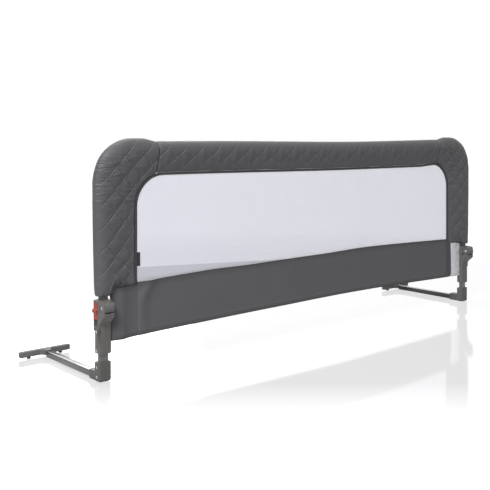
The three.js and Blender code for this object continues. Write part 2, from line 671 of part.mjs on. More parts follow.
function blockSide() {
  return [
    [-PIVOT_FORWARD, PIVOT_HEIGHT],
    [BOLT_DEPTH / 2 - PIVOT_FORWARD, BLOCK_BOTTOM],
    [BLOCK_BACK, BLOCK_BOTTOM],
    ...arc(BLOCK_BACK - BLOCK_ROUNDING, BLOCK_TOP - BLOCK_ROUNDING, BLOCK_ROUNDING, 0, 90),
    [-TUBE_RADIUS - BLOCK_FRONT_WALL, BLOCK_TOP],
  ];
}

function knuckle() {
  const discOutline = circle(-PIVOT_FORWARD, PIVOT_HEIGHT, KNUCKLE_RADIUS, 2 * ROUND_SIDES);
  const disc = prismX(discOutline, SEAT_GAP - CHEEK_INNER_FACE, BLOCK_HALF_WIDTH);
  const cheekRoom = rodX(
    CHEEK_RADIUS + TURN_GAP,
    -BLOCK_HALF_WIDTH - OVERRUN,
    SEAT_GAP - CHEEK_INNER_FACE,
    -PIVOT_FORWARD,
    PIVOT_HEIGHT,
    ROUND_SIDES,
  );
  const block = prismX(blockSide(), -BLOCK_HALF_WIDTH, BLOCK_HALF_WIDTH).subtract(cheekRoom);
  const socket = circle(0, 0, TUBE_RADIUS + SEAT_GAP, 2 * TUBE_SIDES);
  const pocketHalf = BOLT_DEPTH / 2 + TURN_GAP;
  const pocket = box(-pocketHalf, BLOCK_BOTTOM - OVERRUN, pocketHalf, BLOCK_BOTTOM + LATCH_POCKET_DEPTH);
  return without(
    disc.add(block),
    prismZ(socket, TUBE_BOTTOM - SEAT_GAP, BLOCK_TOP + OVERRUN),
    prismX(pocket, -BOLT_WIDTH / 2 - TURN_GAP, BOLT_WIDTH / 2 + TURN_GAP),
    rodX(PIVOT_RADIUS + SEAT_GAP, -HOUSING_WIDTH, HOUSING_WIDTH, -PIVOT_FORWARD, PIVOT_HEIGHT),
    rodX(RIVET_RADIUS + SEAT_GAP, -HOUSING_WIDTH, HOUSING_WIDTH, 0, RIVET_HEIGHT),
  );
}

function pivotPin() {
  const innerHead = -NOSE_INNER - SEAT_GAP;
  const outerHead = NOSE_OUTER - PIVOT_HEAD_HEIGHT + SEAT_GAP;
  const rim = PIVOT_HEAD_RADIUS - SCREW_HEAD_RECESS;
  return turned([
    [0, innerHead - PIVOT_HEAD_HEIGHT],
    [rim, innerHead - PIVOT_HEAD_HEIGHT],
    [PIVOT_HEAD_RADIUS, innerHead],
    [PIVOT_RADIUS, innerHead],
    [PIVOT_RADIUS, outerHead],
    [PIVOT_HEAD_RADIUS, outerHead],
    [rim, outerHead + PIVOT_HEAD_HEIGHT],
    [0, outerHead + PIVOT_HEAD_HEIGHT],
  ], -PIVOT_FORWARD, PIVOT_HEIGHT);
}

function rivet() {
  return rodX(RIVET_RADIUS, -BLOCK_HALF_WIDTH, BLOCK_HALF_WIDTH, 0, RIVET_HEIGHT);
}

// Release button, latch bolt and spring

function button() {
  const crest = BUTTON_FACE + BUTTON_RIDGE_PROUD;
  const middle = (BUTTON_RIDGE_BOTTOM + BUTTON_RIDGE_TOP) / 2;
  const crestHalf = (BUTTON_RIDGE_TOP - BUTTON_RIDGE_BOTTOM) / 4;
  const profile = [
    [BUTTON_SEAT, BUTTON_BOTTOM],
    [BUTTON_FACE, BUTTON_BOTTOM],
    [BUTTON_FACE, BUTTON_RIDGE_BOTTOM],
    [crest, middle - crestHalf],
    [crest, middle + crestHalf],
    [BUTTON_FACE, BUTTON_RIDGE_TOP],
    [BUTTON_FACE, BUTTON_TOP],
    [BUTTON_SEAT, BUTTON_TOP],
  ];
  const corner = BUTTON_PLATE - BUTTON_PROUD;
  const outline = roundedBox(BUTTON_FRONT, BUTTON_BOTTOM, BUTTON_BACK, BUTTON_TOP, corner);
  return prismY(profile, BUTTON_FRONT, BUTTON_BACK).intersect(prismX(outline, 0, HOUSING_WIDTH));
}

function latchBolt() {
  const half = BOLT_WIDTH / 2;
  const bolt = prismX(box(-BOLT_DEPTH / 2, BOLT_BOTTOM, BOLT_DEPTH / 2, BOLT_TOP), -half, half);
  const armSide = box(BOLT_ARM_FRONT, BOLT_ARM_BOTTOM, BOLT_ARM_BACK, BOLT_ARM_TOP);
  return bolt.add(prismX(armSide, 0, BUTTON_SEAT - SEAT_GAP));
}

// A tube of small section round a list of points, closed at both ends
function wire(points, frames, radius, sides) {
  const positions = [];
  const index = [];
  points.forEach((point, i) => {
    for (let k = 0; k < sides; k += 1) {
      const angle = (2 * Math.PI * k) / sides;
      const offset = frames[i].out.clone().multiplyScalar(radius * Math.cos(angle));
      offset.addScaledVector(frames[i].up, radius * Math.sin(angle));
      positions.push(point.x + offset.x, point.y + offset.y, point.z + offset.z);
    }
  });
  const last = (points.length - 1) * sides;
  for (let i = 0; i < last; i += sides) {
    for (let k = 0; k < sides; k += 1) {
      const next = (k + 1) % sides;
      index.push(i + k, i + sides + k, i + next, i + next, i + sides + k, i + sides + next);
    }
  }
  for (let k = 1; k < sides - 1; k += 1) {
    index.push(0, k, k + 1, last, last + k + 1, last + k);
  }
  const geometry = new THREE.BufferGeometry();
  geometry.setAttribute('position', new THREE.Float32BufferAttribute(positions, 3));
  geometry.setIndex(index);
  return geometry;
}

function latchSpring() {
  const stepsPerCurl = 8;
  const bottom = HOUSING_UPPER_SCREW_HEIGHT + SCREW_RADIUS + SEAT_GAP + SPRING_WIRE_RADIUS;
  const rise = BOLT_BOTTOM - SEAT_GAP - SPRING_WIRE_RADIUS - bottom;
  const points = [];
  const frames = [];
  for (let i = 0; i <= SPRING_CURLS * stepsPerCurl; i += 1) {
    const angle = (2 * Math.PI * i) / stepsPerCurl;
    const out = new THREE.Vector3(Math.cos(angle), Math.sin(angle), 0);
    const place = out.clone().multiplyScalar(SPRING_RADIUS);
    place.z = bottom + (rise * i) / (SPRING_CURLS * stepsPerCurl);
    points.push(place);
    frames.push({ out, up: ALONG_Z });
  }
  console.log('least gap between spring curls, mm:', leastGap(points, stepsPerCurl, SPRING_WIRE_RADIUS));
  return solid(wire(points, frames, SPRING_WIRE_RADIUS, 5));
}

// The least gap between stretches of one wire that are half a curl or more apart
function leastGap(points, stepsPerCurl, radius) {
  let least = Infinity;
  points.forEach((point, i) => {
    for (let j = i + stepsPerCurl / 2; j < points.length; j += 1) {
      least = Math.min(least, point.distanceTo(points[j]) - 2 * radius);
    }
  });
  return Number(least.toFixed(2));
}

// Frame tube: its axis as seen from one post, with x running inwards

const BEND_START = TOP_AXIS_HEIGHT - BEND_RADIUS;
const BEND_LENGTH = (BEND_RADIUS * Math.PI) / 2;

// Place on the axis at a distance from the height zero, and the direction to the window
function framePlace(distance) {
  const round = distance - BEND_START;
  if (round < 0) {
    return { x: 0, z: distance, inX: 1, inZ: 0 };
  }
  if (round < BEND_LENGTH) {
    const angle = round / BEND_RADIUS;
    const [cos, sin] = [Math.cos(angle), Math.sin(angle)];
    return { x: BEND_RADIUS * (1 - cos), z: BEND_START + BEND_RADIUS * sin, inX: cos, inZ: -sin };
  }
  return { x: BEND_RADIUS + round - BEND_LENGTH, z: TOP_AXIS_HEIGHT, inX: 0, inZ: -1 };
}

class FrameAxis extends THREE.Curve {
  getPoint(share, target = new THREE.Vector3()) {
    const end = BEND_START + BEND_LENGTH + TUBE_JOINT - BEND_RADIUS;
    const place = framePlace(TUBE_BOTTOM + share * (end - TUBE_BOTTOM));
    return target.set(-place.x, 0, place.z);
  }
}

function tubeOutline(radius, sides) {
  return circle(0, 0, radius, sides).map(([a, b]) => new THREE.Vector2(a, b));
}

function snapPlace() {
  return TUBE_JOINT - SNAP_SETBACK;
}

function cornerTube() {
  const shape = new THREE.Shape(tubeOutline(TUBE_RADIUS, TUBE_SIDES));
  shape.holes.push(new THREE.Path(tubeOutline(TUBE_RADIUS - TUBE_WALL, BORE_SIDES)));
  const options = { steps: TUBE_STEPS, extrudePath: new FrameAxis(), bevelEnabled: false };
  const tube = solid(new THREE.ExtrudeGeometry(shape, options));
  return without(
    tube,
    rodX(RIVET_RADIUS + SEAT_GAP, -HOUSING_WIDTH, HOUSING_WIDTH, 0, RIVET_HEIGHT),
    snapRod(SNAP_RADIUS + SEAT_GAP, TUBE_RADIUS + OVERRUN),
  );
}

// Inner radius of the joiner's wall, and a rod from there to a given reach below the axis
function snapRod(radius, reach) {
  const rod = prismZ(circle(0, 0, radius, SMALL_SIDES), -reach, -joinerBore());
  return rod.translate([-snapPlace(), 0, TOP_AXIS_HEIGHT]);
}

function joinerBore() {
  return TUBE_RADIUS - TUBE_WALL - 2 * SEAT_GAP - JOINER_WALL;
}

function tubeJoiner() {
  const outer = circle(0, TOP_AXIS_HEIGHT, joinerBore() + JOINER_WALL, BORE_SIDES);
  const bore = circle(0, TOP_AXIS_HEIGHT, joinerBore(), BORE_SIDES);
  const middle = -TUBE_JOINT;
  const sleeve = prismX(outer, middle - JOINER_LENGTH / 2, middle + JOINER_LENGTH / 2, [bore]);
  return without(sleeve, snapRod(SNAP_RADIUS + SEAT_GAP, TUBE_RADIUS + OVERRUN));
}

function snapButton() {
  return snapRod(SNAP_RADIUS, TUBE_RADIUS + SEAT_GAP);
}

function topTube() {
  const half = POST_SPACING / 2 - TUBE_JOINT - SEAT_GAP;
  const outer = circle(0, TOP_AXIS_HEIGHT, TUBE_RADIUS, TUBE_SIDES);
  return prismX(outer, -half, half, [circle(0, TOP_AXIS_HEIGHT, TUBE_RADIUS - TUBE_WALL, BORE_SIDES)]);
}

// Window outline, grown outwards by a margin, and where a line from the tube meets it

function windowReach(place, margin) {
  const edge = WINDOW_EDGE - margin;
  const top = WINDOW_TOP + margin;
  const radius = WINDOW_CORNER + margin;
  const toSide = (edge - place.x) / place.inX;
  if (place.inX > 0 && place.z + toSide * place.inZ <= top - radius) {
    return toSide;
  }
  const toTop = (top - place.z) / place.inZ;
  if (place.inZ < 0 && place.x + toTop * place.inX >= edge + radius) {
    return toTop;
  }
  const acrossX = place.x - (edge + radius);
  const acrossZ = place.z - (top - radius);
  const along = acrossX * place.inX + acrossZ * place.inZ;
  const beyond = acrossX ** 2 + acrossZ ** 2 - radius ** 2;
  return -along - Math.sqrt(along ** 2 - beyond);
}

// Half of the window's outline, from its foot to mid length, with x running inwards
function windowHalf(margin, foot) {
  const edge = WINDOW_EDGE - margin;
  const radius = WINDOW_CORNER + margin;
  const top = WINDOW_TOP + margin;
  const corner = arc(edge + radius, top - radius, radius, 180, 90, 2 * ARC_STEPS);
  return [[edge, foot], ...corner];
}

function acrossRail(points) {
  const half = POST_SPACING / 2;
  const left = points.map(([x, z]) => [x - half, z]);
  const right = points.map(([x, z]) => [half - x, z]).reverse();
  return [...left, ...right];
}

// Quilted cover: rings of points round the tube, from the outer edge to the window and back

const ROUND_STEPS = 2;
const TAPER_STEPS = 5;
const RING_STEPS = ROUND_STEPS + TAPER_STEPS;
const CHANNEL_SIDES = 8;
const DIAMOND_STEPS = 3;

// Half thickness of the cover at a step from its outer edge, and the distance from the tube's axis
function coverHalf(step, outer, reach) {
  if (step <= ROUND_STEPS) {
    const angle = (Math.PI / 2) * (step / ROUND_STEPS);
    return { out: -outer * Math.cos(angle), half: COVER_FRONT_SWELL * Math.sin(angle) };
  }
  const share = (step - ROUND_STEPS) / TAPER_STEPS;
  const fallShare = 1 - share ** 1.4;
  return { out: reach * share, half: COVER_EDGE + (COVER_FRONT_SWELL - COVER_EDGE) * fallShare };
}

// The padding rises between the lines of stitches and is held down along them
function puffAt(station, step) {
  const onStitches = (station + step) % DIAMOND_STEPS === 0 || (station - step) % DIAMOND_STEPS === 0;
  return onStitches || step === RING_STEPS ? -QUILT_PUFF / 2 : QUILT_PUFF / 2;
}

// One ring: points in the plane of the section, as distance towards the window and Y
function coverRing(station, outer, reach) {
  const front = [];
  const back = [];
  for (let step = 0; step <= RING_STEPS; step += 1) {
    const { out, half } = coverHalf(step, outer, reach);
    const puff = puffAt(station, step);
    const atEdge = step === RING_STEPS ? 0 : puff;
    const lean = step < ROUND_STEPS ? Math.cos((Math.PI / 2) * (step / ROUND_STEPS)) : 0;
    const outPlace = out - atEdge * lean;
    const halfPlace = half + atEdge * Math.sqrt(1 - lean ** 2);
    front.push([outPlace, -halfPlace]);
    back.push([outPlace, halfPlace]);
  }
  return [...front, ...back.slice(1).reverse()];
}

// Rings joined into a skin, triangles split along the stitches, with a channel for the tube
function skin(rings, channel) {
  const positions = [];
  const index = [];
  const count = rings[0].length;
  const quad = (a, b, c, d, alongBD) => {
    index.push(...(alongBD ? [a, b, d, b, c, d] : [a, b, c, a, c, d]));
  };
  rings.forEach((ring) => ring.forEach((point) => positions.push(...point)));
  for (let i = 0; i < rings.length - 1; i += 1) {
    for (let k = 0; k < count; k += 1) {
      const next = (k + 1) % count;
      const step = k <= RING_STEPS ? k : count - k;
      const towards = k < RING_STEPS ? step + i + 1 : step - i;
      quad(i * count + k, (i + 1) * count + k, (i + 1) * count + next, i * count + next,
        towards % DIAMOND_STEPS === 0);
    }
  }
  const base = rings.length * count;
  const sides = channel[0].length;
  channel.forEach((ring) => ring.forEach((point) => positions.push(...point)));
  for (let i = 0; i < channel.length - 1; i += 1) {
    for (let k = 0; k < sides; k += 1) {
      const next = (k + 1) % sides;
      const [low, high] = [base + i * sides, base + (i + 1) * sides];
      quad(low + k, low + next, high + next, high + k, false);
    }
  }
  return { positions, index, count, base, sides, channelRings: channel.length };
}

// End faces between the skin's first or last ring and the channel's
function endFace(part, flat, outerStart, channelStart, facing) {
  const contour = flat.outer.map(([a, b]) => new THREE.Vector2(a, b));
  const hole = flat.channel.map(([a, b]) => new THREE.Vector2(a, b));
  const faces = THREE.ShapeUtils.triangulateShape(contour, [hole]);
  const place = (k) => (k < contour.length ? outerStart + k : channelStart + k - contour.length);
  for (const [a, b, c] of faces) {
    part.index.push(...(facing ? [place(a), place(b), place(c)] : [place(c), place(b), place(a)]));
  }
}

function channelRing(radius) {
  const grown = radius / Math.cos(Math.PI / CHANNEL_SIDES);
  return circle(0, 0, grown, CHANNEL_SIDES);
}

// A cover piece from sections: each has its flat ring and a function that places a flat point
function coverPiece(sections, straight) {
  const flatChannel = channelRing(TUBE_RADIUS + COVER_CHANNEL_GAP);
  const rings = sections.map(({ ring, place }) => ring.map(place));
  const last = sections.length - 1;
  const bored = straight ? [sections[0], sections[last]] : sections;
  const stretched = ({ stretch }) => flatChannel.map(([out, y]) => [out * stretch, y]);
  const part = skin(rings, bored.map((section) => stretched(section).map(section.place)));
  endFace(part, { outer: sections[0].ring, channel: flatChannel }, 0, part.base, true);
  const lastChannel = part.base + (part.channelRings - 1) * part.sides;
  endFace(part, { outer: sections[last].ring, channel: flatChannel }, last * part.count, lastChannel, false);
  const geometry = new THREE.BufferGeometry();
  geometry.setAttribute('position', new THREE.Float32BufferAttribute(part.positions, 3));
  geometry.setIndex(part.index);
  return solid(geometry);
}

// How far the cover stands out beyond the tube's axis, by distance along the frame
function outerSwell(distance, end) {
  const columnShare = Math.min(1, (distance - COVER_BOTTOM) / (BEND_START - COVER_BOTTOM));
  const cornerShare = THREE.MathUtils.clamp((distance - BEND_START) / (end - BEND_START), 0, 1);
  const column = COLUMN_SWELL * Math.sin((Math.PI / 2) * columnShare) * (1 - cornerShare);
  return COVER_OUTER_SWELL + column + CORNER_SWELL * Math.sin(Math.PI * cornerShare);
}

// A section of the cover at a distance along the frame. Up the column it is level, and from the
// start of the window's corner it turns evenly, until it is upright at the seam. Where it leans
// against the tube it is stretched, so that the tube keeps its room.
function coverSection(distance, end) {
  const at = framePlace(distance);
  const turnStart = WINDOW_TOP - WINDOW_CORNER;
  const turnShare = THREE.MathUtils.clamp((distance - turnStart) / (end - turnStart), 0, 1);
  const angle = (Math.PI / 2) * turnShare;
  const [inX, inZ] = [Math.cos(angle), -Math.sin(angle)];
  return { x: at.x, z: at.z, inX, inZ, stretch: 1 / (at.inX * inX + at.inZ * inZ) };
}

function sideCover() {
  const end = BEND_START + BEND_LENGTH + COVER_SEAM - BEND_RADIUS;
  const stations = DIAMOND_STEPS * Math.round((end - COVER_BOTTOM) / QUILT_STEP / DIAMOND_STEPS);
  const sections = [];
  for (let i = 0; i <= stations; i += 1) {
    const distance = COVER_BOTTOM + ((end - COVER_BOTTOM) * i) / stations;
    const at = coverSection(distance, end);
    const reach = windowReach(at, BINDING_WIDTH + SEAT_GAP);
    const ring = coverRing(i, outerSwell(distance, end) * at.stretch, reach);
    const place = ([out, y]) => [-at.x - out * at.inX, y, at.z + out * at.inZ];
    sections.push({ ring, place, stretch: at.stretch });
  }
  const cut = box(-WINDOW_EDGE, COVER_BOTTOM - OVERRUN, -SLEEVE_INNER, bandTop(WINDOW_EDGE) + SEAT_GAP);
  const deep = COVER_FRONT_SWELL + QUILT_PUFF;
  return coverPiece(sections, false).subtract(prismY(cut, -deep, deep));
}

function topCover() {
  const half = POST_SPACING / 2 - COVER_SEAM - SEAT_GAP;
  const stations = DIAMOND_STEPS * Math.round((2 * half) / QUILT_STEP / DIAMOND_STEPS);
  const sections = [];
  for (let i = 0; i <= stations; i += 1) {
    const x = half - (2 * half * i) / stations;
    const at = { x: POST_SPACING / 2 - Math.abs(x), z: TOP_AXIS_HEIGHT, inX: 0, inZ: -1 };
    const ring = coverRing(i, COVER_OUTER_SWELL, windowReach(at, BINDING_WIDTH + SEAT_GAP));
    sections.push({ ring, place: ([out, y]) => [x, y, TOP_AXIS_HEIGHT - out], stretch: 1 });
  }
  return coverPiece(sections, true);
}

// Window binding and mesh

function bindingFoot() {
  return bandTop(WINDOW_EDGE) + SEAT_GAP;
}

function windowBinding() {
  const outer = acrossRail(windowHalf(BINDING_WIDTH, bindingFoot()));
  const inner = acrossRail(windowHalf(0, bindingFoot())).reverse();
  const half = BINDING_THICKNESS / 2;
  return prismY([...outer, ...inner], -WINDOW_FORWARD - half, half - WINDOW_FORWARD);
}

function meshWindow() {
  const upper = windowHalf(-SEAT_GAP, bandTop(WINDOW_EDGE) + SEAT_GAP);
  const footSteps = 24;
  const foot = [];
  for (let i = 1; i < footSteps; i += 1) {
    const x = WINDOW_EDGE + ((POST_SPACING - 2 * WINDOW_EDGE) * i) / footSteps;
    foot.push([POST_SPACING / 2 - x, bandTop(x) + SEAT_GAP]);
  }
  const half = MESH_THICKNESS / 2;
  return prismY([...acrossRail(upper), ...foot], -WINDOW_FORWARD - half, half - WINDOW_FORWARD);
}

// Lower band: its edges rise to mid length, and it hangs in soft folds near its ends

function bandTop(x) {
  return BAND_TOP_END + BAND_TOP_RISE * Math.sin((Math.PI * x) / POST_SPACING);
}

function bandBottom(x) {
  return BAND_BOTTOM_END + BAND_BOTTOM_RISE * Math.sin((Math.PI * x) / POST_SPACING);
}

// Distance of the band in front of the posts: the folds fade out towards mid length
function bandForward(x) {
  const fromEnd = Math.min(x, POST_SPACING - x) - BAND_END;
  const fade = Math.exp(-fromEnd / (2 * BAND_FOLD_SPACING));
  return BAND_FORWARD + BAND_FOLD * fade * Math.sin((2 * Math.PI * fromEnd) / BAND_FOLD_SPACING);
}

// A hanging sheet as a closed solid, from x to x measured from the left post, with its steps
// closer together near its ends
function hangingSheet(from, to, steps, rows) {
  const positions = [];
  const index = [];
  const sides = 2 * rows.length;
  for (let i = 0; i <= steps; i += 1) {
    const share = (1 - Math.cos((Math.PI * i) / steps)) / 2;
    const x = from + (to - from) * share;
    const [low, high] = [bandBottom(x), bandTop(x)];
    const ring = rows.map(([rowShare, thickness]) => [low + rowShare * (high - low), thickness / 2]);
    const back = ring.map(([z, half]) => [z, half - bandForward(x)]);
    const front = ring.map(([z, half]) => [z, -half - bandForward(x)]).reverse();
    [...back, ...front].forEach(([z, y]) => positions.push(x - POST_SPACING / 2, y, z));
  }
  for (let i = 0; i < steps; i += 1) {
    for (let k = 0; k < sides; k += 1) {
      const [here, next] = [i * sides + k, i * sides + ((k + 1) % sides)];
      index.push(here, next, here + sides, next, next + sides, here + sides);
    }
  }
  const last = steps * sides;
  for (let k = 0; k < rows.length - 1; k += 1) {
    const [a, b, c, d] = [k, k + 1, sides - 2 - k, sides - 1 - k];
    index.push(a, c, b, a, d, c, last + a, last + b, last + c, last + a, last + c, last + d);
  }
  const geometry = new THREE.BufferGeometry();
  geometry.setAttribute('position', new THREE.Float32BufferAttribute(positions, 3));
  geometry.setIndex(index);
  return solid(geometry);
}

function lowerBand() {
  const end = POST_SPACING - BAND_END - TAPE_WIDTH - SEAT_GAP;
  const hemShare = 0.07;
  const foldShare = 0.09;
  const rows = [
    [0, BAND_HEM_THICKNESS],
    [hemShare, BAND_HEM_THICKNESS],
    [foldShare, BAND_THICKNESS],
    [1 - foldShare, BAND_THICKNESS],
    [1 - hemShare, BAND_HEM_THICKNESS],
    [1, BAND_HEM_THICKNESS],
  ];
  return hangingSheet(BAND_END, end, BAND_STEPS, rows);
}

function endTape() {
  const end = POST_SPACING - BAND_END;
  return hangingSheet(end - TAPE_WIDTH, end, TAPE_STEPS, [[0, TAPE_THICKNESS], [1, TAPE_THICKNESS]]);
}

function sideTab() {
  const low = WINDOW_EDGE - POST_SPACING / 2 + SEAT_GAP;
  const back = -WINDOW_FORWARD - MESH_THICKNESS / 2 - SEAT_GAP;
  return prismY(box(low, TAB_BOTTOM, low + TAB_WIDTH, TAB_TOP), back - TAB_THICKNESS, back);
}

// Assembly

const rail = new THREE.Group();
// The frame's origin is on the floor, under the middle of the whole rail
const front = PIVOT_FORWARD + KNUCKLE_RADIUS;
const back = footAxis() + FOOT_DEPTH / 2;
rail.position.y = (front - back) / 2;

function addPiece(name, body, finishName, side = 0) {
  const material = new THREE.MeshStandardMaterial(FINISHES[finishName]);
  const mesh = new THREE.Mesh(geometryOf(body, side || 1), material);
  mesh.name = name;
  mesh.position.x = (side * POST_SPACING) / 2;
  rail.add(mesh);
}

function addPost(prefix, side) {
  const add = (name, body, finishName) => addPiece(`${prefix}_${name}`, body, finishName, side);
  add('arm_tube', arm(), 'steel');
  add('foot_bar', foot(), 'plastic');
  add('foot_pad_outer', pad(1), 'rubber');
  add('foot_pad_inner', pad(-1), 'rubber');
  const elbowBody = elbow();
  add('elbow_outer_shell', shell(elbowBody, 1, ELBOW_WIDTH, ELBOW_HEIGHT), 'plastic');
  add('elbow_inner_shell', shell(elbowBody, -1, ELBOW_WIDTH, ELBOW_HEIGHT), 'plastic');
  add('elbow_upper_screw', screw(ELBOW_WIDTH, ELBOW_UPPER_SCREW_HEIGHT), 'bright');
  add('elbow_lower_screw', screw(ELBOW_WIDTH, ELBOW_LOWER_SCREW_HEIGHT), 'bright');
  add('leg_tube', leg(), 'steel');
  const housingBody = housing();
  add('housing_outer_shell', shell(housingBody, 1, HOUSING_WIDTH, HOUSING_TOP), 'plastic');
  add('housing_inner_shell', shell(housingBody, -1, HOUSING_WIDTH, HOUSING_TOP), 'plastic');
  add('housing_upper_screw', screw(HOUSING_WIDTH, HOUSING_UPPER_SCREW_HEIGHT), 'bright');
  add('housing_lower_screw', screw(HOUSING_WIDTH, HOUSING_LOWER_SCREW_HEIGHT), 'bright');
  add('pivot_pin', pivotPin(), 'bright');
  add('release_button', button(), 'release');
  add('latch_bolt', latchBolt(), 'plastic');
  add('latch_spring', latchSpring(), 'bright');
  add('knuckle', knuckle(), 'plastic');
  add('knuckle_rivet', rivet(), 'bright');
  add('corner_tube', cornerTube(), 'steel');
  add('tube_joiner', tubeJoiner(), 'steel');
  add('snap_button', snapButton(), 'bright');
  add('side_cover', sideCover(), 'cover');
}

addPost('left', -1);
addPost('right', 1);
addPiece('top_tube', topTube(), 'steel');
addPiece('top_cover', topCover(), 'cover');
addPiece('window_binding', windowBinding(), 'binding');
addPiece('mesh_window', meshWindow(), 'mesh');
addPiece('lower_band', lowerBand(), 'band');
addPiece('end_tape', endTape(), 'tape');
addPiece('side_tab', sideTab(), 'binding');

export default rail;
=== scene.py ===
# %% [markdown]
# # A folding guard rail for a bed
# This script dresses a finished model of a bed guard rail: two hinged posts, a padded and quilted
# cover, a net window and a plain cloth band. The model gives every place and size. The script
# adds what cloth, thread, moulded plastic and painted steel look like.
# A loaded frame is used, rather than shapes drawn by eye, so that each piece sits where the
# mechanism needs it and moves with the body that carries it.

# %% Load the frame
import math

import bmesh
import bpy
import numpy as np
from mathutils import Matrix, Vector, noise
from mathutils.bvhtree import BVHTree


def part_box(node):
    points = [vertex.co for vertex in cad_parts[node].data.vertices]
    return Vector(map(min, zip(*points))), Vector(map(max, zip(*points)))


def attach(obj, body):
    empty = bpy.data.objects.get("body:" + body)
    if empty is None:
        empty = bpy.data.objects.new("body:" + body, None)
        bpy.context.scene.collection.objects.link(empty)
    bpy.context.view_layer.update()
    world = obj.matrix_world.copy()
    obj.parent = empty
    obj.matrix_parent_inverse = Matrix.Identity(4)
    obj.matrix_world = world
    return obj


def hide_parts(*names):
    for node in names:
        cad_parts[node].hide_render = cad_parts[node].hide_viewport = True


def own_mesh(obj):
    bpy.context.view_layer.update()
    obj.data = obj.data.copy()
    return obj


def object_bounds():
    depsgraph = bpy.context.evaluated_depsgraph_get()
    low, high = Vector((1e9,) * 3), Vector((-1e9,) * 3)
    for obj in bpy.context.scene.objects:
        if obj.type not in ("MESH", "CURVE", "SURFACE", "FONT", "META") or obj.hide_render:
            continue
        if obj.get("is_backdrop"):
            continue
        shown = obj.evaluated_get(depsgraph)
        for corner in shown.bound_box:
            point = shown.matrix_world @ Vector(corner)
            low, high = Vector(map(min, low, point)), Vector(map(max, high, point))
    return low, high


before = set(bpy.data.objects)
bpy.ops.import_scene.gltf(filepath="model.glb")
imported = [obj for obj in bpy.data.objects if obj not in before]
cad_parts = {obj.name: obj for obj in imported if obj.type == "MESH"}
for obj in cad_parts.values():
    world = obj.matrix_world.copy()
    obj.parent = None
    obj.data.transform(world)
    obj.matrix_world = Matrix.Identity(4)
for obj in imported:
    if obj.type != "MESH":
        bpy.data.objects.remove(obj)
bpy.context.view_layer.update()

# %% [markdown]
# The sizes that the cloth pieces need are measured on the model where a piece shows them, such as
# the post's own axis in its leg. The rest are the drawing's sizes in metres. One list of names
# keeps each size in one place, which is easier to follow than numbers inside the shapes.

# %% Sizes
LEG_LOW, LEG_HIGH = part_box("left_leg_tube")
HALF_SPACING = -(LEG_LOW.x + LEG_HIGH.x) / 2
SPACING = 2 * HALF_SPACING
POST_Y = (LEG_LOW.y + LEG_HIGH.y) / 2
SIDES = ((-1, "left"), (1, "right"))
TUBE_RADIUS = 0.010
TUBE_LOW = 0.1523  # the tube's lower end, inside the hinge
TUBE_JOINT = 0.118  # from the post's axis to the joint with the top tube
BEND_RADIUS = 0.070
TOP_AXIS = 0.469
BEND_START = TOP_AXIS - BEND_RADIUS
BEND_RUN = BEND_RADIUS * math.pi / 2
COVER_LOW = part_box("left_side_cover")[0].z
COVER_FRONT = 0.017  # half of a pad's thickness over the tube
COVER_OUTER = 0.0185  # from the tube's axis to a pad's outer edge
COVER_EDGE = 0.004  # half of a pad's thickness at the window
COVER_SEAM = 0.1287  # from the post's axis to the seam with the top cover
SIDE_END = BEND_START + BEND_RUN + COVER_SEAM - BEND_RADIUS
WINDOW_EDGE = 0.0805  # from the post's axis to the net
WINDOW_TOP = 0.4154
WINDOW_CORNER = 0.066
WINDOW_Y = POST_Y - 0.001
BINDING_WIDTH = 0.006
BAND_END = 0.0202  # from the post's axis to the band
BAND_LOW, BAND_HIGH = 0.077, 0.1867
TAPE_WIDTH = 0.0388
print("post axis at x", round(HALF_SPACING, 4), "y", round(POST_Y, 5))

# %% [markdown]
# The camera stands in front of the left post, at the height of the cover's top. It looks level,
# and the frame is shifted downwards, as with a view camera, so that the posts stay upright in the
# picture. Tilting the camera would make them lean.

# %% Camera
CAMERA_PLACE = (-1.4828, -1.5684, 0.50)
VIEW_TURN = math.radians(40.5)
VIEW_DIRECTION = Vector((math.sin(VIEW_TURN), math.cos(VIEW_TURN), 0))
LENS, SENSOR_WIDTH, FRAME_SHIFT = 59.92, 36, -0.2229
NEAREST, FARTHEST = 0.05, 100


def added(name, data):
    """A new object in the scene, at the origin."""
    piece = bpy.data.objects.new(name, data)
    bpy.context.scene.collection.objects.link(piece)
    return piece


camera = added("Camera", bpy.data.cameras.new("Camera"))
bpy.context.scene.camera = camera
camera.location = CAMERA_PLACE
camera.rotation_euler = (math.radians(90), 0, -VIEW_TURN)
camera.data.lens, camera.data.shift_y = LENS, FRAME_SHIFT
camera.data.sensor_width, camera.data.sensor_fit = SENSOR_WIDTH, "HORIZONTAL"
camera.data.clip_start, camera.data.clip_end = NEAREST, FARTHEST
print("camera at", tuple(round(value, 3) for value in camera.location))

# %% [markdown]
# Shader maths reads best as ordinary sums. A small class wraps the output of a node, and each
# sum or product on it adds a Math node. A second class makes a material, and has one method that
# makes any other node. Wiring each node by hand would take several lines for every step.

# %% Sums on sockets
class Wire:
    """The output of a shader node, with sums that add Math nodes."""

    def __init__(self, finish, node, output=0):
        self.finish, self.made, self.socket = finish, node, node.outputs[output]

    def part(self, output):
        return Wire(self.finish, self.made, output)

    def maths(self, operation, *values):
        inputs = dict(enumerate(values))
        return self.finish.node("ShaderNodeMath", {"operation": operation}, inputs)

    def __add__(self, other):
        return self.maths("ADD", self, other)

    def __radd__(self, other):
        return self.maths("ADD", other, self)

    def __sub__(self, other):
        return self.maths("SUBTRACT", self, other)

    def __rsub__(self, other):
        return self.maths("SUBTRACT", other, self)

    def __mul__(self, other):
        return self.maths("MULTIPLY", self, other)

    def __truediv__(self, other):
        return self.maths("DIVIDE", self, other)

    def __pow__(self, other):
        return self.maths("POWER", self, other)

    def clipped(self):
        return self.maths("MAXIMUM", self.maths("MINIMUM", self, 1.0), 0.0)


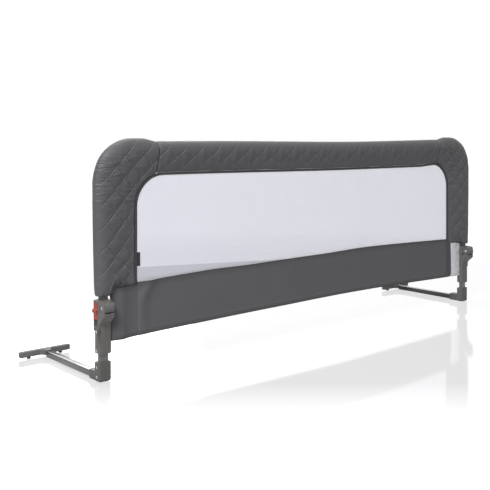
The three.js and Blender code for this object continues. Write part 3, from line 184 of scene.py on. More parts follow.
# %% [markdown]
# A material is a tree of nodes that ends in one output node. The class below clears the tree that
# Blender makes by itself and keeps that output. Its method makes a node from the node's name, its
# settings and its inputs, and an input is either a plain value or a wire. One method for all kinds
# is easier to learn than a helper for each.

# %% One method for every other node
class Finish:
    """A material or world whose nodes are made one at a time."""

    def __init__(self, name, owner=None):
        self.owner = owner or bpy.data.materials.new(name)
        self.owner.use_nodes = True
        self.tree = self.owner.node_tree
        self.tree.nodes.clear()
        end = "ShaderNodeOutputWorld" if owner else "ShaderNodeOutputMaterial"
        self.end = self.tree.nodes.new(end)

    def node(self, kind, settings=None, inputs=None, output=0):
        node = self.tree.nodes.new(kind)
        for name, value in (settings or {}).items():
            setattr(node, name, value)
        for key, value in (inputs or {}).items():
            if isinstance(value, Wire):
                self.tree.links.new(value.socket, node.inputs[key])
            else:
                node.inputs[key].default_value = value
        return Wire(self, node, output)

    def ends_in(self, shader):
        self.tree.links.new(shader.socket, self.end.inputs["Surface"])
        return self.owner


print("node helpers ready")

# %% [markdown]
# Colours are written as the eye names them, in eight-bit steps, and turned into the linear
# values that the shader wants. A mix of two colours goes through a Mix node, because a Math node
# would turn them grey.

# %% Colour helpers
MIX_SOCKETS = {"Factor": 0, "A": 6, "B": 7}
MIX_RESULT = 2


def linear(red, green, blue):
    """The usual curve of screens: a short straight piece near black, and a power above it."""
    shares = (level / 255 for level in (red, green, blue))
    return tuple(s / 12.92 if s <= 0.04045 else ((s + 0.055) / 1.055) ** 2.4 for s in shares)


def mixed(finish, share, first, second):
    """A colour between two, each a tuple or a wire."""
    first, second = (c if isinstance(c, Wire) else (*c, 1) for c in (first, second))
    inputs = {"Factor": share, "A": first, "B": second}
    inputs = {MIX_SOCKETS[key]: value for key, value in inputs.items()}
    return finish.node("ShaderNodeMix", {"data_type": "RGBA"}, inputs, MIX_RESULT)


def grain(finish, place, scale, detail=3.0, roughness=0.5):
    """Noise between 0 and 1 at a number of grains in a metre."""
    inputs = {"Vector": place, "Scale": scale, "Detail": detail, "Roughness": roughness}
    return finish.node("ShaderNodeTexNoise", {}, inputs)


def bumped(finish, height, depth, before=None):
    """A Bump node for a height of 0 to 1 that stands for a depth in metres."""
    inputs = {"Height": height, "Distance": depth, "Strength": 1.0}
    if before is not None:
        inputs["Normal"] = before
    return finish.node("ShaderNodeBump", {}, inputs)


def own_place(finish):
    """The place on the piece itself, in metres."""
    return finish.node("ShaderNodeTexCoord", output="Object")


def own_map(finish):
    """The place on the piece's own flat map, in metres."""
    return finish.node("ShaderNodeTexCoord", output="UV")


print("linear mid grey:", round(linear(128, 128, 128)[0], 3))

# %% [markdown]
# The room is white. A camera or a mirror-like surface sees a white world at strength 1, but the
# light that falls on the cloth comes from a dimmer grey world and four broad lamps: a key from the
# left, one above, a weak fill and one behind that lights the far posts. Light Path tells those
# rays apart. Raising the lamps until the background turns white would bleach the object instead.

# %% World
WORLD_LEVEL = 0.31
world = bpy.data.worlds.new("Studio")
bpy.context.scene.world = world
studio = Finish("Studio", world)
path = studio.node("ShaderNodeLightPath", output="Is Camera Ray")
seen = (path + path.part("Is Glossy Ray") + path.part("Is Transmission Ray")).clipped()
brightness = seen * (1 - WORLD_LEVEL) + WORLD_LEVEL
white = {"Color": (1, 1, 1, 1), "Strength": brightness}
studio.ends_in(studio.node("ShaderNodeBackground", {}, white))
bpy.context.scene.view_settings.view_transform = "Standard"
print("world level for the object:", WORLD_LEVEL)

# %% [markdown]
# The lamps are square area lamps, like softboxes in a studio. Large soft lamps give the quilting
# gentle shadows. Each is aimed at the middle of the rail, and its size and power are written
# beside its place, so that one line tells all about one lamp.

# %% Lamps
AIM = (0, 0, 0.3)


def softbox(name, place, size, power, aim=AIM):
    data = bpy.data.lights.new(name, "AREA")
    data.shape, data.size, data.energy = "SQUARE", size, power
    lamp = added(name, data)
    lamp.location = place
    direction = Vector(aim) - Vector(place)
    lamp.rotation_euler = direction.to_track_quat("-Z", "Y").to_euler()


softbox("Key", (-2.4, -1.4, 2.3), size=1.2, power=120)
softbox("Top", (0.1, 0.2, 2.9), size=1.8, power=50, aim=(0, -0.1, 0.3))
softbox("Fill", (2.2, -2.8, 1.4), size=2.0, power=3)
softbox("Back", (0.8, 2.7, 1.5), size=1.8, power=36)
print("lamps:", [lamp.name for lamp in bpy.data.lights])

# %% [markdown]
# The floor is a smooth pale sheet. It mirrors the posts faintly, and the mirror image fades out
# towards the camera. The fade lies on the floor itself, along the line of sight of the picture, so
# that it stays put in every other view. A little light that only the camera sees lifts the floor to
# white, and the object's shadow still shows where it is deep. Where the floor is seen through the
# net and lies beyond a straight line behind the rail, that light is weaker, so the floor looks grey
# there.

# %% Floor
FLOOR_REACH = 30
MIRROR_START, MIRROR_RUN, MIRROR_SHARE = -0.775, 0.27, 0.34
MIRROR_ROUGHNESS = 0.07
GREY_ZONE_LINE, GREY_ZONE_EDGE, GREY_ZONE_SOFTNESS = (0.381, 0.990, 0.0), 1.121, 0.02
GLOW, VEILED_GLOW = 1.28, 0.64
GLOW_NEAR, GLOW_FAR_FROM, GLOW_FAR_RUN = 0.72, 1.3, 0.9


def plain_mesh(name, points, edges=(), faces=()):
    mesh = bpy.data.meshes.new(name)
    mesh.from_pydata(points, edges, faces)
    return mesh


def floor_finish():
    floor = Finish("Pale_floor")
    place = own_place(floor)

    def measured(operation, *inputs):
        inputs = dict(enumerate(inputs))
        return floor.node("ShaderNodeVectorMath", {"operation": operation}, inputs, "Value")

    along = measured("DOT_PRODUCT", place, tuple(VIEW_DIRECTION))
    fade = ((along - MIRROR_START) / MIRROR_RUN).clipped()
    away = measured("LENGTH", place)
    tone = mixed(floor, grain(floor, place, 3.0), (0.50, 0.50, 0.505), (0.54, 0.54, 0.54))
    matt = floor.node("ShaderNodeBsdfDiffuse", {}, {"Color": tone})
    ray = floor.node("ShaderNodeLightPath", output="Is Camera Ray")
    # Beyond a straight line behind the rail, where the floor is seen through the net, its glow is
    # weaker, so it looks grey there.
    line_distance = measured("DOT_PRODUCT", place, GREY_ZONE_LINE)
    in_grey_zone = 1 - ((line_distance - GREY_ZONE_EDGE) / GREY_ZONE_SOFTNESS).clipped()
    veiled = ray.part("Transparent Depth").clipped() * in_grey_zone
    glow = floor.node("ShaderNodeEmission", {}, {"Strength": GLOW - veiled * VEILED_GLOW})
    far = ((away - GLOW_FAR_FROM) / GLOW_FAR_RUN).clipped()
    white_share = ray * (GLOW_NEAR + far * (1 - GLOW_NEAR))
    base = floor.node("ShaderNodeMixShader", {}, {"Fac": white_share, 1: matt, 2: glow})
    gloss = floor.node("ShaderNodeBsdfGlossy", {}, {"Roughness": MIRROR_ROUGHNESS})
    inputs = {"Fac": fade * MIRROR_SHARE, 1: base, 2: gloss}
    return floor.ends_in(floor.node("ShaderNodeMixShader", {}, inputs))


corners = [(x * FLOOR_REACH, y * FLOOR_REACH, 0) for x, y in ((-1, -1), (1, -1), (1, 1), (-1, 1))]
floor_piece = added("Floor", plain_mesh("Floor", corners, faces=[(0, 1, 2, 3)]))
floor_piece.data.materials.append(floor_finish())
floor_piece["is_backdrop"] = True
print("floor ready, side in metres:", 2 * FLOOR_REACH)

# %% [markdown]
# The cover is woven polyester, a plain dark grey weave with a slight satin look. Its pattern
# reads the piece's own map, which is laid out in metres along and across the cloth, so that the
# threads follow each bend. Threads are raised with a Bump node: as real geometry they would cost
# millions of faces for detail of half a millimetre.

# %% Woven cloth
FIBRES = 1400.0  # grains in a metre
GATHERS_FROM, GATHERS_LOW, GATHERS_HIGH = 0.515, 0.30, 0.475
GATHERS_SCALE = (13.0, 13.0, 105.0)
GATHERS_SHARP, GATHERS_BELOW = 7, 0.2
GROOVE_STEEP, GROOVE_DEPTH = 15, 0.0014
CRUMPLE_DEPTH, THREAD_DEPTH = 0.0005, 0.00007


def weave_height(finish, uv, pitch):
    """Threads that pass over and under each other, as a height from 0 to 1."""
    axes = finish.node("ShaderNodeSeparateXYZ", {}, {"Vector": uv})
    turn = 2 * math.pi / pitch
    warp = axes.maths("SINE", axes * turn)
    weft = axes.maths("SINE", axes.part("Y") * turn)
    return warp * weft * 0.5 + 0.5


def gather_height(finish, place):
    """Fine level gathers in the cloth beside the two posts, as a height from 0 to 1."""
    axes = finish.node("ShaderNodeSeparateXYZ", {}, {"Vector": place})
    beside = ((axes.maths("ABSOLUTE", axes) - GATHERS_FROM) / 0.03).clipped()
    level = axes.part("Z")
    high = ((level - GATHERS_LOW) / 0.10).clipped() * ((GATHERS_HIGH - level) / 0.03).clipped()
    high = high * (1 - GATHERS_BELOW) + GATHERS_BELOW
    inputs = {0: place, 1: GATHERS_SCALE}
    stretched = finish.node("ShaderNodeVectorMath", {"operation": "MULTIPLY"}, inputs)
    folds = grain(finish, stretched, 1.0, 2.0) * 2 - 1
    ridge = (1 - folds.maths("ABSOLUTE", folds)) ** GATHERS_SHARP
    patches = ((grain(finish, place, 14.0, 2.0) - 0.38) * 5).clipped()
    return ridge * beside * high * patches


def quilting_groove(finish):
    """Narrow grooves along the lines of stitches: 1 in the middle of a line, 0 beside it."""
    grooves = []
    for name in ("line_sum", "line_gap"):
        count = finish.node("ShaderNodeAttribute", {"attribute_name": name}, output="Fac") + 0.5
        apart = count.maths("FRACT", count) - 0.5
        grooves.append((1 - apart.maths("ABSOLUTE", apart) * GROOVE_STEEP).clipped())
    relief = finish.node("ShaderNodeAttribute", {"attribute_name": "relief"}, output="Fac")
    return grooves[0].maths("MAXIMUM", *grooves) * relief


def cloth_finish(name, dark, light, pitch, roughness, specular, gathers=0.0):
    cloth = Finish(name)
    uv, place = own_map(cloth), own_place(cloth)
    broad = grain(cloth, place, 9.0, 4.0)
    fibres = grain(cloth, uv, FIBRES, 2.0)
    threads = weave_height(cloth, uv, pitch)
    share = (broad * 0.7 + fibres * 0.3 + threads * 0.12 - 0.06).clipped()
    colour = mixed(cloth, share, dark, light)
    crumple = bumped(cloth, grain(cloth, place, 55.0, 3.0), CRUMPLE_DEPTH)
    if gathers:
        crumple = bumped(cloth, gather_height(cloth, place), gathers, crumple)
        groove = quilting_groove(cloth)
        crumple = bumped(cloth, 1 - groove, GROOVE_DEPTH, crumple)
        # Along the stitch lines the cloth is painted lighter, a painted highlight on the quilting
        # lines.
        colour = mixed(cloth, groove**2 * 0.25, colour, linear(112, 112, 115))
    normal = bumped(cloth, threads * 0.8 + fibres * 0.2, THREAD_DEPTH, crumple)
    inputs = {
        "Base Color": colour,
        "Roughness": broad * 0.12 + (roughness - 0.06),
        "Specular IOR Level": specular,
        "Normal": normal,
    }
    return cloth.ends_in(cloth.node("ShaderNodeBsdfPrincipled", {}, inputs))


COVER_CLOTH = cloth_finish("Quilted_cover_cloth", linear(70, 70, 72), linear(82, 82, 84),
                           pitch=0.0009, roughness=0.44, specular=0.26, gathers=0.0017)
BINDING_CLOTH = cloth_finish("Window_binding_cloth", linear(57, 57, 60), linear(65, 65, 68),
                             pitch=0.0008, roughness=0.8, specular=0.1)
TAB_CLOTH = cloth_finish("Side_tab_cloth", linear(40, 40, 43), linear(52, 52, 55),
                         pitch=0.0006, roughness=0.6, specular=0.2)
print("cloths:", COVER_CLOTH.name, BINDING_CLOTH.name, TAB_CLOTH.name)

# %% [markdown]
# The lower band is the same cloth without padding. Its two long edges are turned under and sewn
# down, and along these hems the band is a little darker. A named attribute marks the hems and a
# painted shade on the mesh, which keeps the mark in place wherever the cloth folds. Up to 1 it
# stands for the darker hems, for the right end, where the hem and a painted shade darken the cloth,
# and for a painted shade line along both edges. From 1 to 2 it stands for deeper painted shade: at
# the very edges, and where the band goes up behind the cover.

# %% Band cloth
BAND_PITCH, BAND_CRUMPLE, BAND_THREADS = 0.0008, 0.0009, 0.00006


def band_finish():
    cloth = Finish("Lower_band_cloth")
    uv, place = own_map(cloth), own_place(cloth)
    broad = grain(cloth, place, 6.0, 3.0)
    fibres = grain(cloth, uv, FIBRES, 2.0)
    threads = weave_height(cloth, uv, BAND_PITCH)
    share = (broad * 0.8 + fibres * 0.2).clipped()
    plain = mixed(cloth, share, linear(76, 76, 78), linear(86, 86, 88))
    hem = cloth.node("ShaderNodeAttribute", {"attribute_name": "hem"}, output="Fac")
    # Painted shade: the mark darkens the hems and paints shade along the edges and at the right
    # end, and above 1 it paints the deep shade at the edges and under the cover.
    colour = mixed(cloth, hem.clipped() * 0.8, plain, linear(60, 60, 63))
    colour = mixed(cloth, (hem - 1).clipped(), colour, linear(26, 26, 28))
    crumple = bumped(cloth, grain(cloth, place, 22.0, 3.0), BAND_CRUMPLE)
    inputs = {
        "Base Color": colour,
        "Roughness": broad * 0.1 + 0.55,
        "Specular IOR Level": 0.2,
        "Normal": bumped(cloth, threads, BAND_THREADS, crumple),
    }
    return cloth.ends_in(cloth.node("ShaderNodeBsdfPrincipled", {}, inputs))


BAND_CLOTH = band_finish()
print("band cloth:", BAND_CLOTH.name)

# %% [markdown]
# The window is a fine warp-knitted net with small holes. A net this fine would need hundreds of
# thousands of faces, so the holes are cut with transparency: a hexagon-like pattern of dots from
# three crossed waves feeds the alpha. The threads are a pale bluish grey and the holes are wide,
# so from afar it blends into an even veil that stays pale where it is seen at a slant.

# %% Window net
MESH_PITCH = 0.0020
HOLE_SIZE, HOLE_STEEP, HOLE_CLEAR = 0.30, 7, 0.97


def net_finish():
    net = Finish("Window_net")
    uv = own_map(net)
    axes = net.node("ShaderNodeSeparateXYZ", {}, {"Vector": uv})
    turn = 2 * math.pi / MESH_PITCH
    waves = []
    for angle in (0, 60, 120):
        cos, sin = math.cos(math.radians(angle)), math.sin(math.radians(angle))
        waves.append(axes.maths("COSINE", (axes * cos + axes.part("Y") * sin) * turn))
    dots = (waves[0] + waves[1] + waves[2]) / 3
    hole = ((dots + HOLE_SIZE) * HOLE_STEEP).clipped()
    fuzz = grain(net, uv, 900.0, 2.0)
    broad = grain(net, own_place(net), 5.0, 2.0)
    share = (fuzz * 0.5 + broad * 0.5).clipped()
    inputs = {
        "Base Color": mixed(net, share, linear(146, 146, 176), linear(158, 158, 188)),
        "Roughness": fuzz * 0.1 + 0.75,
        "Alpha": 1 - hole * HOLE_CLEAR,
        "Normal": bumped(net, 1 - dots, 0.0002),
    }
    return net.ends_in(net.node("ShaderNodeBsdfPrincipled", {}, inputs))


NET = net_finish()
print("net:", NET.name)

# %% [markdown]
# A pale tape is sewn to the band's right end. It is a soft coated ribbon, slightly glossy, with
# creases across it, and it is bare. The sewing thread is a little lighter than the cloth, and
# together with the painted highlight along the stitch lines in the cover's cloth, the quilting
# shows as fine pale lines.

# %% Tape and thread
TAPE_PITCH, TAPE_RIBS, TAPE_CREASES = 0.0007, 0.00004, 0.0012


def tape_finish():
    tape = Finish("Pale_tape")
    creases_and_shade = grain(tape, own_place(tape), 60.0, 4.0, 0.6)
    # The colour follows the creases: lighter on their crests and darker in their hollows, a painted
    # light and shade on the creases.
    colour = mixed(tape, creases_and_shade, linear(174, 174, 178), linear(204, 204, 208))
    ribs = weave_height(tape, own_map(tape), TAPE_PITCH)
    normal = bumped(tape, ribs, TAPE_RIBS, bumped(tape, creases_and_shade, TAPE_CREASES))
    inputs = {"Base Color": colour, "Roughness": creases_and_shade * 0.2 + 0.35, "Normal": normal}
    return tape.ends_in(tape.node("ShaderNodeBsdfPrincipled", {}, inputs))


def thread_finish(name, dark, light):
    thread = Finish(name)
    twist = grain(thread, own_place(thread), 2500.0, 1.0)
    colour = mixed(thread, twist, dark, light)
    inputs = {"Base Color": colour, "Roughness": twist * 0.2 + 0.45, "Sheen Weight": 0.3}
    return thread.ends_in(thread.node("ShaderNodeBsdfPrincipled", {}, inputs))


TAPE = tape_finish()
PALE_THREAD = thread_finish("Quilting_thread", linear(92, 92, 95), linear(116, 116, 119))
DARK_THREAD = thread_finish("Hem_thread", linear(62, 62, 65), linear(88, 88, 91))
print("tape and threads:", TAPE.name, PALE_THREAD.name, DARK_THREAD.name)

# %% [markdown]
# The hinge and the elbows are moulded in a warm grey plastic with a fine spark-eroded grain,
# rubbed smoother and paler here and there. The elbows are a shade darker than the hinge. The red
# release button is the same kind of plastic, more glossy. The rubber pegs are dark and matt.

# %% Moulded plastics
def plastic_finish(name, dark, light, roughness, depth=0.00004, coat=0.0):
    plastic = Finish(name)
    place = own_place(plastic)
    fine = grain(plastic, place, 2600.0, 2.0)
    flow = grain(plastic, place, 30.0, 4.0)
    scuffs = ((grain(plastic, place, 140.0, 5.0, 0.7) - 0.6) * 5).clipped()
    colour = mixed(plastic, (flow * 0.6 + fine * 0.2 + scuffs * 0.4).clipped(), dark, light)
    inputs = {
        "Base Color": colour,
        "Roughness": (flow * 0.14 - scuffs * 0.08 + (roughness - 0.05)).clipped(),
        "Coat Weight": coat,
        "Specular IOR Level": 0.3,
        "Normal": bumped(plastic, fine, depth),
    }
    return plastic.ends_in(plastic.node("ShaderNodeBsdfPrincipled", {}, inputs))


PLASTIC = plastic_finish("Moulded_plastic", linear(81, 80, 79), linear(98, 97, 95), 0.46)
ELBOW_PLASTIC = plastic_finish("Elbow_plastic", linear(73, 73, 72), linear(88, 87, 86), 0.46)
FOOT_PLASTIC = plastic_finish("Foot_plastic", linear(80, 80, 80), linear(95, 95, 94), 0.5)
RED_PLASTIC = plastic_finish("Release_plastic", linear(122, 38, 34), linear(156, 70, 54), 0.4,
                             depth=0.00002, coat=0.15)
RUBBER = plastic_finish("Peg_rubber", linear(62, 62, 63), linear(78, 78, 79), 0.8, depth=0.00008)
plastics = (PLASTIC, ELBOW_PLASTIC, FOOT_PLASTIC, RED_PLASTIC, RUBBER)
print("plastics:", [finish.name for finish in plastics])

# %% [markdown]
# The steel tubes are powder coated, which gives a slightly pebbled skin like the peel of an
# orange: nearly black on arms and frame, grey on the legs. Screws, pins and the hidden spring are
# zinc plated: bright, with faint cloudy patches.

# %% Steel finishes
PEEL_DEPTH, PATCH_DEPTH = 0.00006, 0.00002


def coated_finish(name, dark, light, specular):
    steel = Finish(name)
    place = own_place(steel)
    peel = grain(steel, place, 750.0, 2.0)
    cloud = grain(steel, place, 14.0, 3.0)
    inputs = {
        "Base Color": mixed(steel, cloud, dark, light),
        "Metallic": cloud * 0.1 + 0.02,
        "Roughness": peel * 0.06 + 0.16,
        "Specular IOR Level": specular,
        "Coat Weight": 1.0,
        "Normal": bumped(steel, peel, PEEL_DEPTH),
    }
    return steel.ends_in(steel.node("ShaderNodeBsdfPrincipled", {}, inputs))


def zinc_finish():
    zinc = Finish("Zinc_plated_steel")
    patches = grain(zinc, own_place(zinc), 400.0, 4.0)
    colour = mixed(zinc, patches, linear(172, 173, 170), linear(214, 214, 210))
    inputs = {
        "Base Color": colour,
        "Metallic": patches * 0.1 + 0.88,
        "Roughness": patches * 0.25 + 0.18,
        "Normal": bumped(zinc, patches, PATCH_DEPTH),
    }
    return zinc.ends_in(zinc.node("ShaderNodeBsdfPrincipled", {}, inputs))


STEEL = coated_finish("Powder_coated_steel", linear(36, 36, 36), linear(48, 48, 47), 0.25)
LEG_STEEL = coated_finish("Powder_coated_leg", linear(70, 70, 70), linear(84, 84, 83), 0.5)
ZINC = zinc_finish()
print("metals:", STEEL.name, LEG_STEEL.name, ZINC.name)

# %% [markdown]
# Most pieces here are skins stretched over rows of points, like a boat over its frames. One
# helper joins the rows with four-sided faces, closes the ends, lays out the map in metres and
# turns every face outwards. Starting from such rows keeps the cloth's threads in line with it.

# %% Skins over rows of points
CAP_MAP_SHARE = 0.3


def in_scene(name, mesh, finish):
    mesh.materials.clear()
    mesh.materials.append(finish)
    mesh.polygons.foreach_set("use_smooth", [True] * len(mesh.polygons))
    return added(name, mesh)


def turned_outwards(mesh, merge=None):
    work = bmesh.new()
    work.from_mesh(mesh)
    if merge:
        bmesh.ops.remove_doubles(work, verts=work.verts, dist=merge)
    bmesh.ops.recalc_face_normals(work, faces=work.faces)
    work.to_mesh(mesh)
    work.free()


def run_lengths(points):
    steps = np.linalg.norm(np.diff(points, axis=0), axis=-1)
    return np.concatenate([[0.0], np.cumsum(steps)])


def skinned(name, rows, finish, wrapped=False):
    """Rings of points joined into a closed skin. Wrapped skins join the last ring to the first."""
    rows = np.asarray(rows, float)
    count, width = rows.shape[:2]
    lengthways = np.append(rows[:, 0], rows[:1, 0], axis=0) if wrapped else rows.mean(axis=1)
    along = run_lengths(lengthways)
    middle = rows[count // 3]
    around = run_lengths(np.concatenate([middle, middle[:1]]))
    faces, uvs = [], []
    for i in range(count if wrapped else count - 1):
        here, there = i * width, ((i + 1) % count) * width
        for k in range(width):
            n = (k + 1) % width
            faces.append((here + k, here + n, there + n, there + k))
            uvs += [(along[i], around[k]), (along[i], around[k + 1])]
            uvs += [(along[i + 1], around[k + 1]), (along[i + 1], around[k])]
    if not wrapped:
        for start in (0, (count - 1) * width):
            faces.append(tuple(range(start, start + width)))
            uvs += [(around[k], around[k] * CAP_MAP_SHARE) for k in range(width)]
    mesh = plain_mesh(name, rows.reshape(-1, 3).tolist(), faces=faces)
    layer = mesh.uv_layers.new(name="UVMap")
    layer.data.foreach_set("uv", np.array(uvs, float).ravel())
    turned_outwards(mesh)
    return in_scene(name, mesh, finish)


def places_of(mesh):
    return np.array([vertex.co for vertex in mesh.vertices])


def evaluated_mesh(piece):
    graph = bpy.context.evaluated_depsgraph_get()
    graph.update()
    made = piece.evaluated_get(graph)
    return bpy.data.meshes.new_from_object(made, preserve_all_data_layers=True, depsgraph=graph)


def with_modifiers_applied(piece):
    mesh = evaluated_mesh(piece)
    old = piece.data
    piece.modifiers.clear()
    piece.data = mesh
    bpy.data.meshes.remove(old)
    mesh.name = piece.name
    return piece


def placed(piece, body, slot, *nodes):
    """The piece stands for its nodes, which are hidden, and rides on its body. The slot is not
    used.
    """
    if nodes:
        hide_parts(*nodes)
    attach(piece, body)
    return piece


def eased(share):
    share = min(1.0, max(0.0, share))
    return share * share * (3 - 2 * share)


print("eased halfway:", eased(0.5))

# %% [markdown]
# The padded cover follows the frame tube: straight up the post, round the bend and along the top.
# Its outer edge is rounded over the tube and it thins towards the window. Each section is a
# line across the pad, level on the post and turning evenly through the corner. The same rule
# shaped the model, so the pad fits round the tube and meets the window's binding.

# %% Sections of the cover
SEAM_GAP = 0.0001


def tube_place(run):
    """Place of the tube's axis at a run above the floor, with the direction to the window."""
    turned = run - BEND_START
    if turned < 0:
        return 0.0, run, 1.0, 0.0
    if turned < BEND_RUN:
        cos, sin = math.cos(turned / BEND_RADIUS), math.sin(turned / BEND_RADIUS)
        return BEND_RADIUS * (1 - cos), BEND_START + BEND_RADIUS * sin, cos, -sin
    return BEND_RADIUS + turned - BEND_RUN, TOP_AXIS, 0.0, -1.0


def side_section(run):
    x, z, in_x, in_z = tube_place(run)
    start = WINDOW_TOP - WINDOW_CORNER
    share = min(1.0, max(0.0, (run - start) / (SIDE_END - start)))
    lean_x, lean_z = math.cos(math.pi / 2 * share), -math.sin(math.pi / 2 * share)
    return x, z, lean_x, lean_z, 1 / (in_x * lean_x + in_z * lean_z)


def top_section(run):
    return COVER_SEAM + SEAM_GAP + run, TOP_AXIS, 0.0, -1.0, 1.0


def window_reach(x, z, in_x, in_z, margin):
    """Distance from the tube's axis to the window's outline, grown by a margin."""
    x = min(x, SPACING - x)
    edge, top, radius = WINDOW_EDGE - margin, WINDOW_TOP + margin, WINDOW_CORNER + margin
    if in_x > 0 and z + (edge - x) / in_x * in_z <= top - radius:
        return (edge - x) / in_x
    if in_z < 0 and x + (top - z) / in_z * in_x >= edge + radius:
        return (top - z) / in_z
    across_x, across_z = x - edge - radius, z - top + radius
    along = across_x * in_x + across_z * in_z
    return -along - math.sqrt(along**2 - (across_x**2 + across_z**2 - radius**2))


print("reach to the window on the post:", round(window_reach(0, 0.3, 1, 0, 0.0063), 4))

# %% [markdown]
# Real covers are never quite straight. The top one hangs a little between the corners, most at a
# place right of the middle, and the side ones are fuller half way up and in the corner. The rules
# below say by how much, as a sum of soft bells and steps that were read off the photograph.

# %% Sag and fullness
TOP_SAG, TOP_SAG_PLACE, TOP_SAG_WIDTHS = 0.0042, 0.74, (0.31, 0.25)
WINDOW_SAG, WINDOW_SAG_FROM, WINDOW_SAG_RUN = 0.0046, 0.16, 0.6
TOP_SWELL, COLUMN_SWELL, CORNER_SWELL = 0.0017, 0.005, 0.006


def bell(value, width):
    return math.exp(-((value / width) ** 2))


def fold(value, left, right):
    """A bell with one width on its left side and another on its right."""
    return bell(value, left if value < 0 else right)


def top_sag(x):
    """How far the top cover's upper side hangs below its level at the corners."""
    to_seam = SPACING - COVER_SEAM - x
    return TOP_SAG * fold(x - TOP_SAG_PLACE, *TOP_SAG_WIDTHS) * eased(to_seam / 0.1)


def window_sag(x):
    """The same for the upper edge of the window."""
    to_seam = SPACING - COVER_SEAM - x
    return WINDOW_SAG * eased((x - WINDOW_SAG_FROM) / WINDOW_SAG_RUN) * eased(to_seam / 0.09)


def side_swell(run):
    """From the tube's axis to the outer edge of a side cover."""
    column = min(1.0, (run - COVER_LOW) / (BEND_START - COVER_LOW))
    corner = min(1.0, max(0.0, (run - BEND_START) / (SIDE_END - BEND_START)))
    grown = COLUMN_SWELL * math.sin(math.pi / 2 * column) * (1 - corner)
    corner_swell = CORNER_SWELL * eased(corner / 0.35) * eased((1 - corner) / 0.20)
    return COVER_OUTER + grown + corner_swell + TOP_SWELL * eased((corner - 0.6) / 0.3)


print("the cover hangs by at most, mm:", round(top_sag(TOP_SAG_PLACE) * 1000, 1))

# %% [markdown]
# The quilting is a net of stitch lines that cross into diamonds 46 mm wide. The cloth is quilted
# flat and cut out afterwards, so the lines run straight on through the corner, while the rows of
# points turn with the tube. Each point therefore also knows its place on the flat cloth. Points
# on a line of stitches are held down, and the cloth between them rises.

# %% Quilting grid
DIAMOND = 8  # steps of the grid along one side
DIAMOND_WIDTH = 0.046
STEP = DIAMOND_WIDTH / DIAMOND
STITCH_DIP = 0.0014
LINE_SHARE = 0.05
PILLOW_POWER = 0.62


def on_stitches(lines):
    return any(abs((line + 0.5) % 1 - 0.5) < LINE_SHARE for line in lines)


def pillow(lines):
    """Rise of the cloth between the stitch lines, from 0 to 1."""
    first, second = (math.sin(math.pi * (line % 1)) for line in lines)
    return max(0.0, first * second) ** PILLOW_POWER


class Pad:
    """Counts and rules of one quilted cover."""

    def __init__(self, name, length, start, section, swell, round_steps, taper_steps, ends, lift):
        self.name, self.start, self.length = name, start, length
        self.section, self.swell = section, swell
        self.round_steps, self.taper_steps = round_steps, taper_steps
        self.half_ring = round_steps + taper_steps
        self.stations = DIAMOND * round(length / STEP / DIAMOND)
        self.ends, self.lift = ends, lift

    def run(self, i):
        return self.start + self.length * i / self.stations

    def calm(self, step):
        """Share of the quilting's relief, small round the outer edge, where the cloth is taut."""
        outer = 0.1 + 0.9 * eased((step - 0.3 * self.round_steps) / self.round_steps)
        return outer * eased((self.half_ring - step) / 4)

    def lines(self, i, j):
        """Counts of stitch lines passed on the flat cloth, along its two diagonals."""
        step = abs(j)
        if self.ends == "seams":
            return (i + step) / DIAMOND, (i - step) / DIAMOND
        x, z, in_x, in_z, stretch = self.section(self.run(i))
        if step <= self.round_steps:
            radius = (COVER_FRONT + self.swell(self.run(i)) * stretch) / 2
            out = -radius * math.pi / 2 * (1 - step / self.round_steps)
        else:
            reach = window_reach(x, z, in_x, in_z, BINDING_WIDTH)
            out = reach * (step - self.round_steps) / self.taper_steps
        a, b = (x + out * in_x) / DIAMOND_WIDTH, (z + out * in_z) / DIAMOND_WIDTH
        return a + b, b - a


print("steps in a diamond:", DIAMOND, "of", round(STEP * 1000, 2), "mm")

# %% [markdown]
# Where a cover ends it is pinched: at the seam with the next cover both pads are drawn down, and
# at the foot of a post the pad narrows to a plain sleeve round the tube, while the part beside it
# is sewn flat onto the band. These ends are shaped by easing the thickness over a short run.

# %% One point of a pad
TAPER_POWER = 1.4
SEAM_DRAW, SEAM_STEPS = 0.05, 1.2
SLEEVE_REACH, SLEEVE_EASE, SLEEVE_DRAW, SLEEVE_THINNER = 0.0135, 0.005, 0.1, 0.003
FLAP_HALF, FLAP_SHIFT = 0.0026, -0.004
FLAP_STEPS, HEM_STEPS, LIFT_STEPS = 3.5, 4, 15
CHANNEL_RADIUS = TUBE_RADIUS + 0.0007


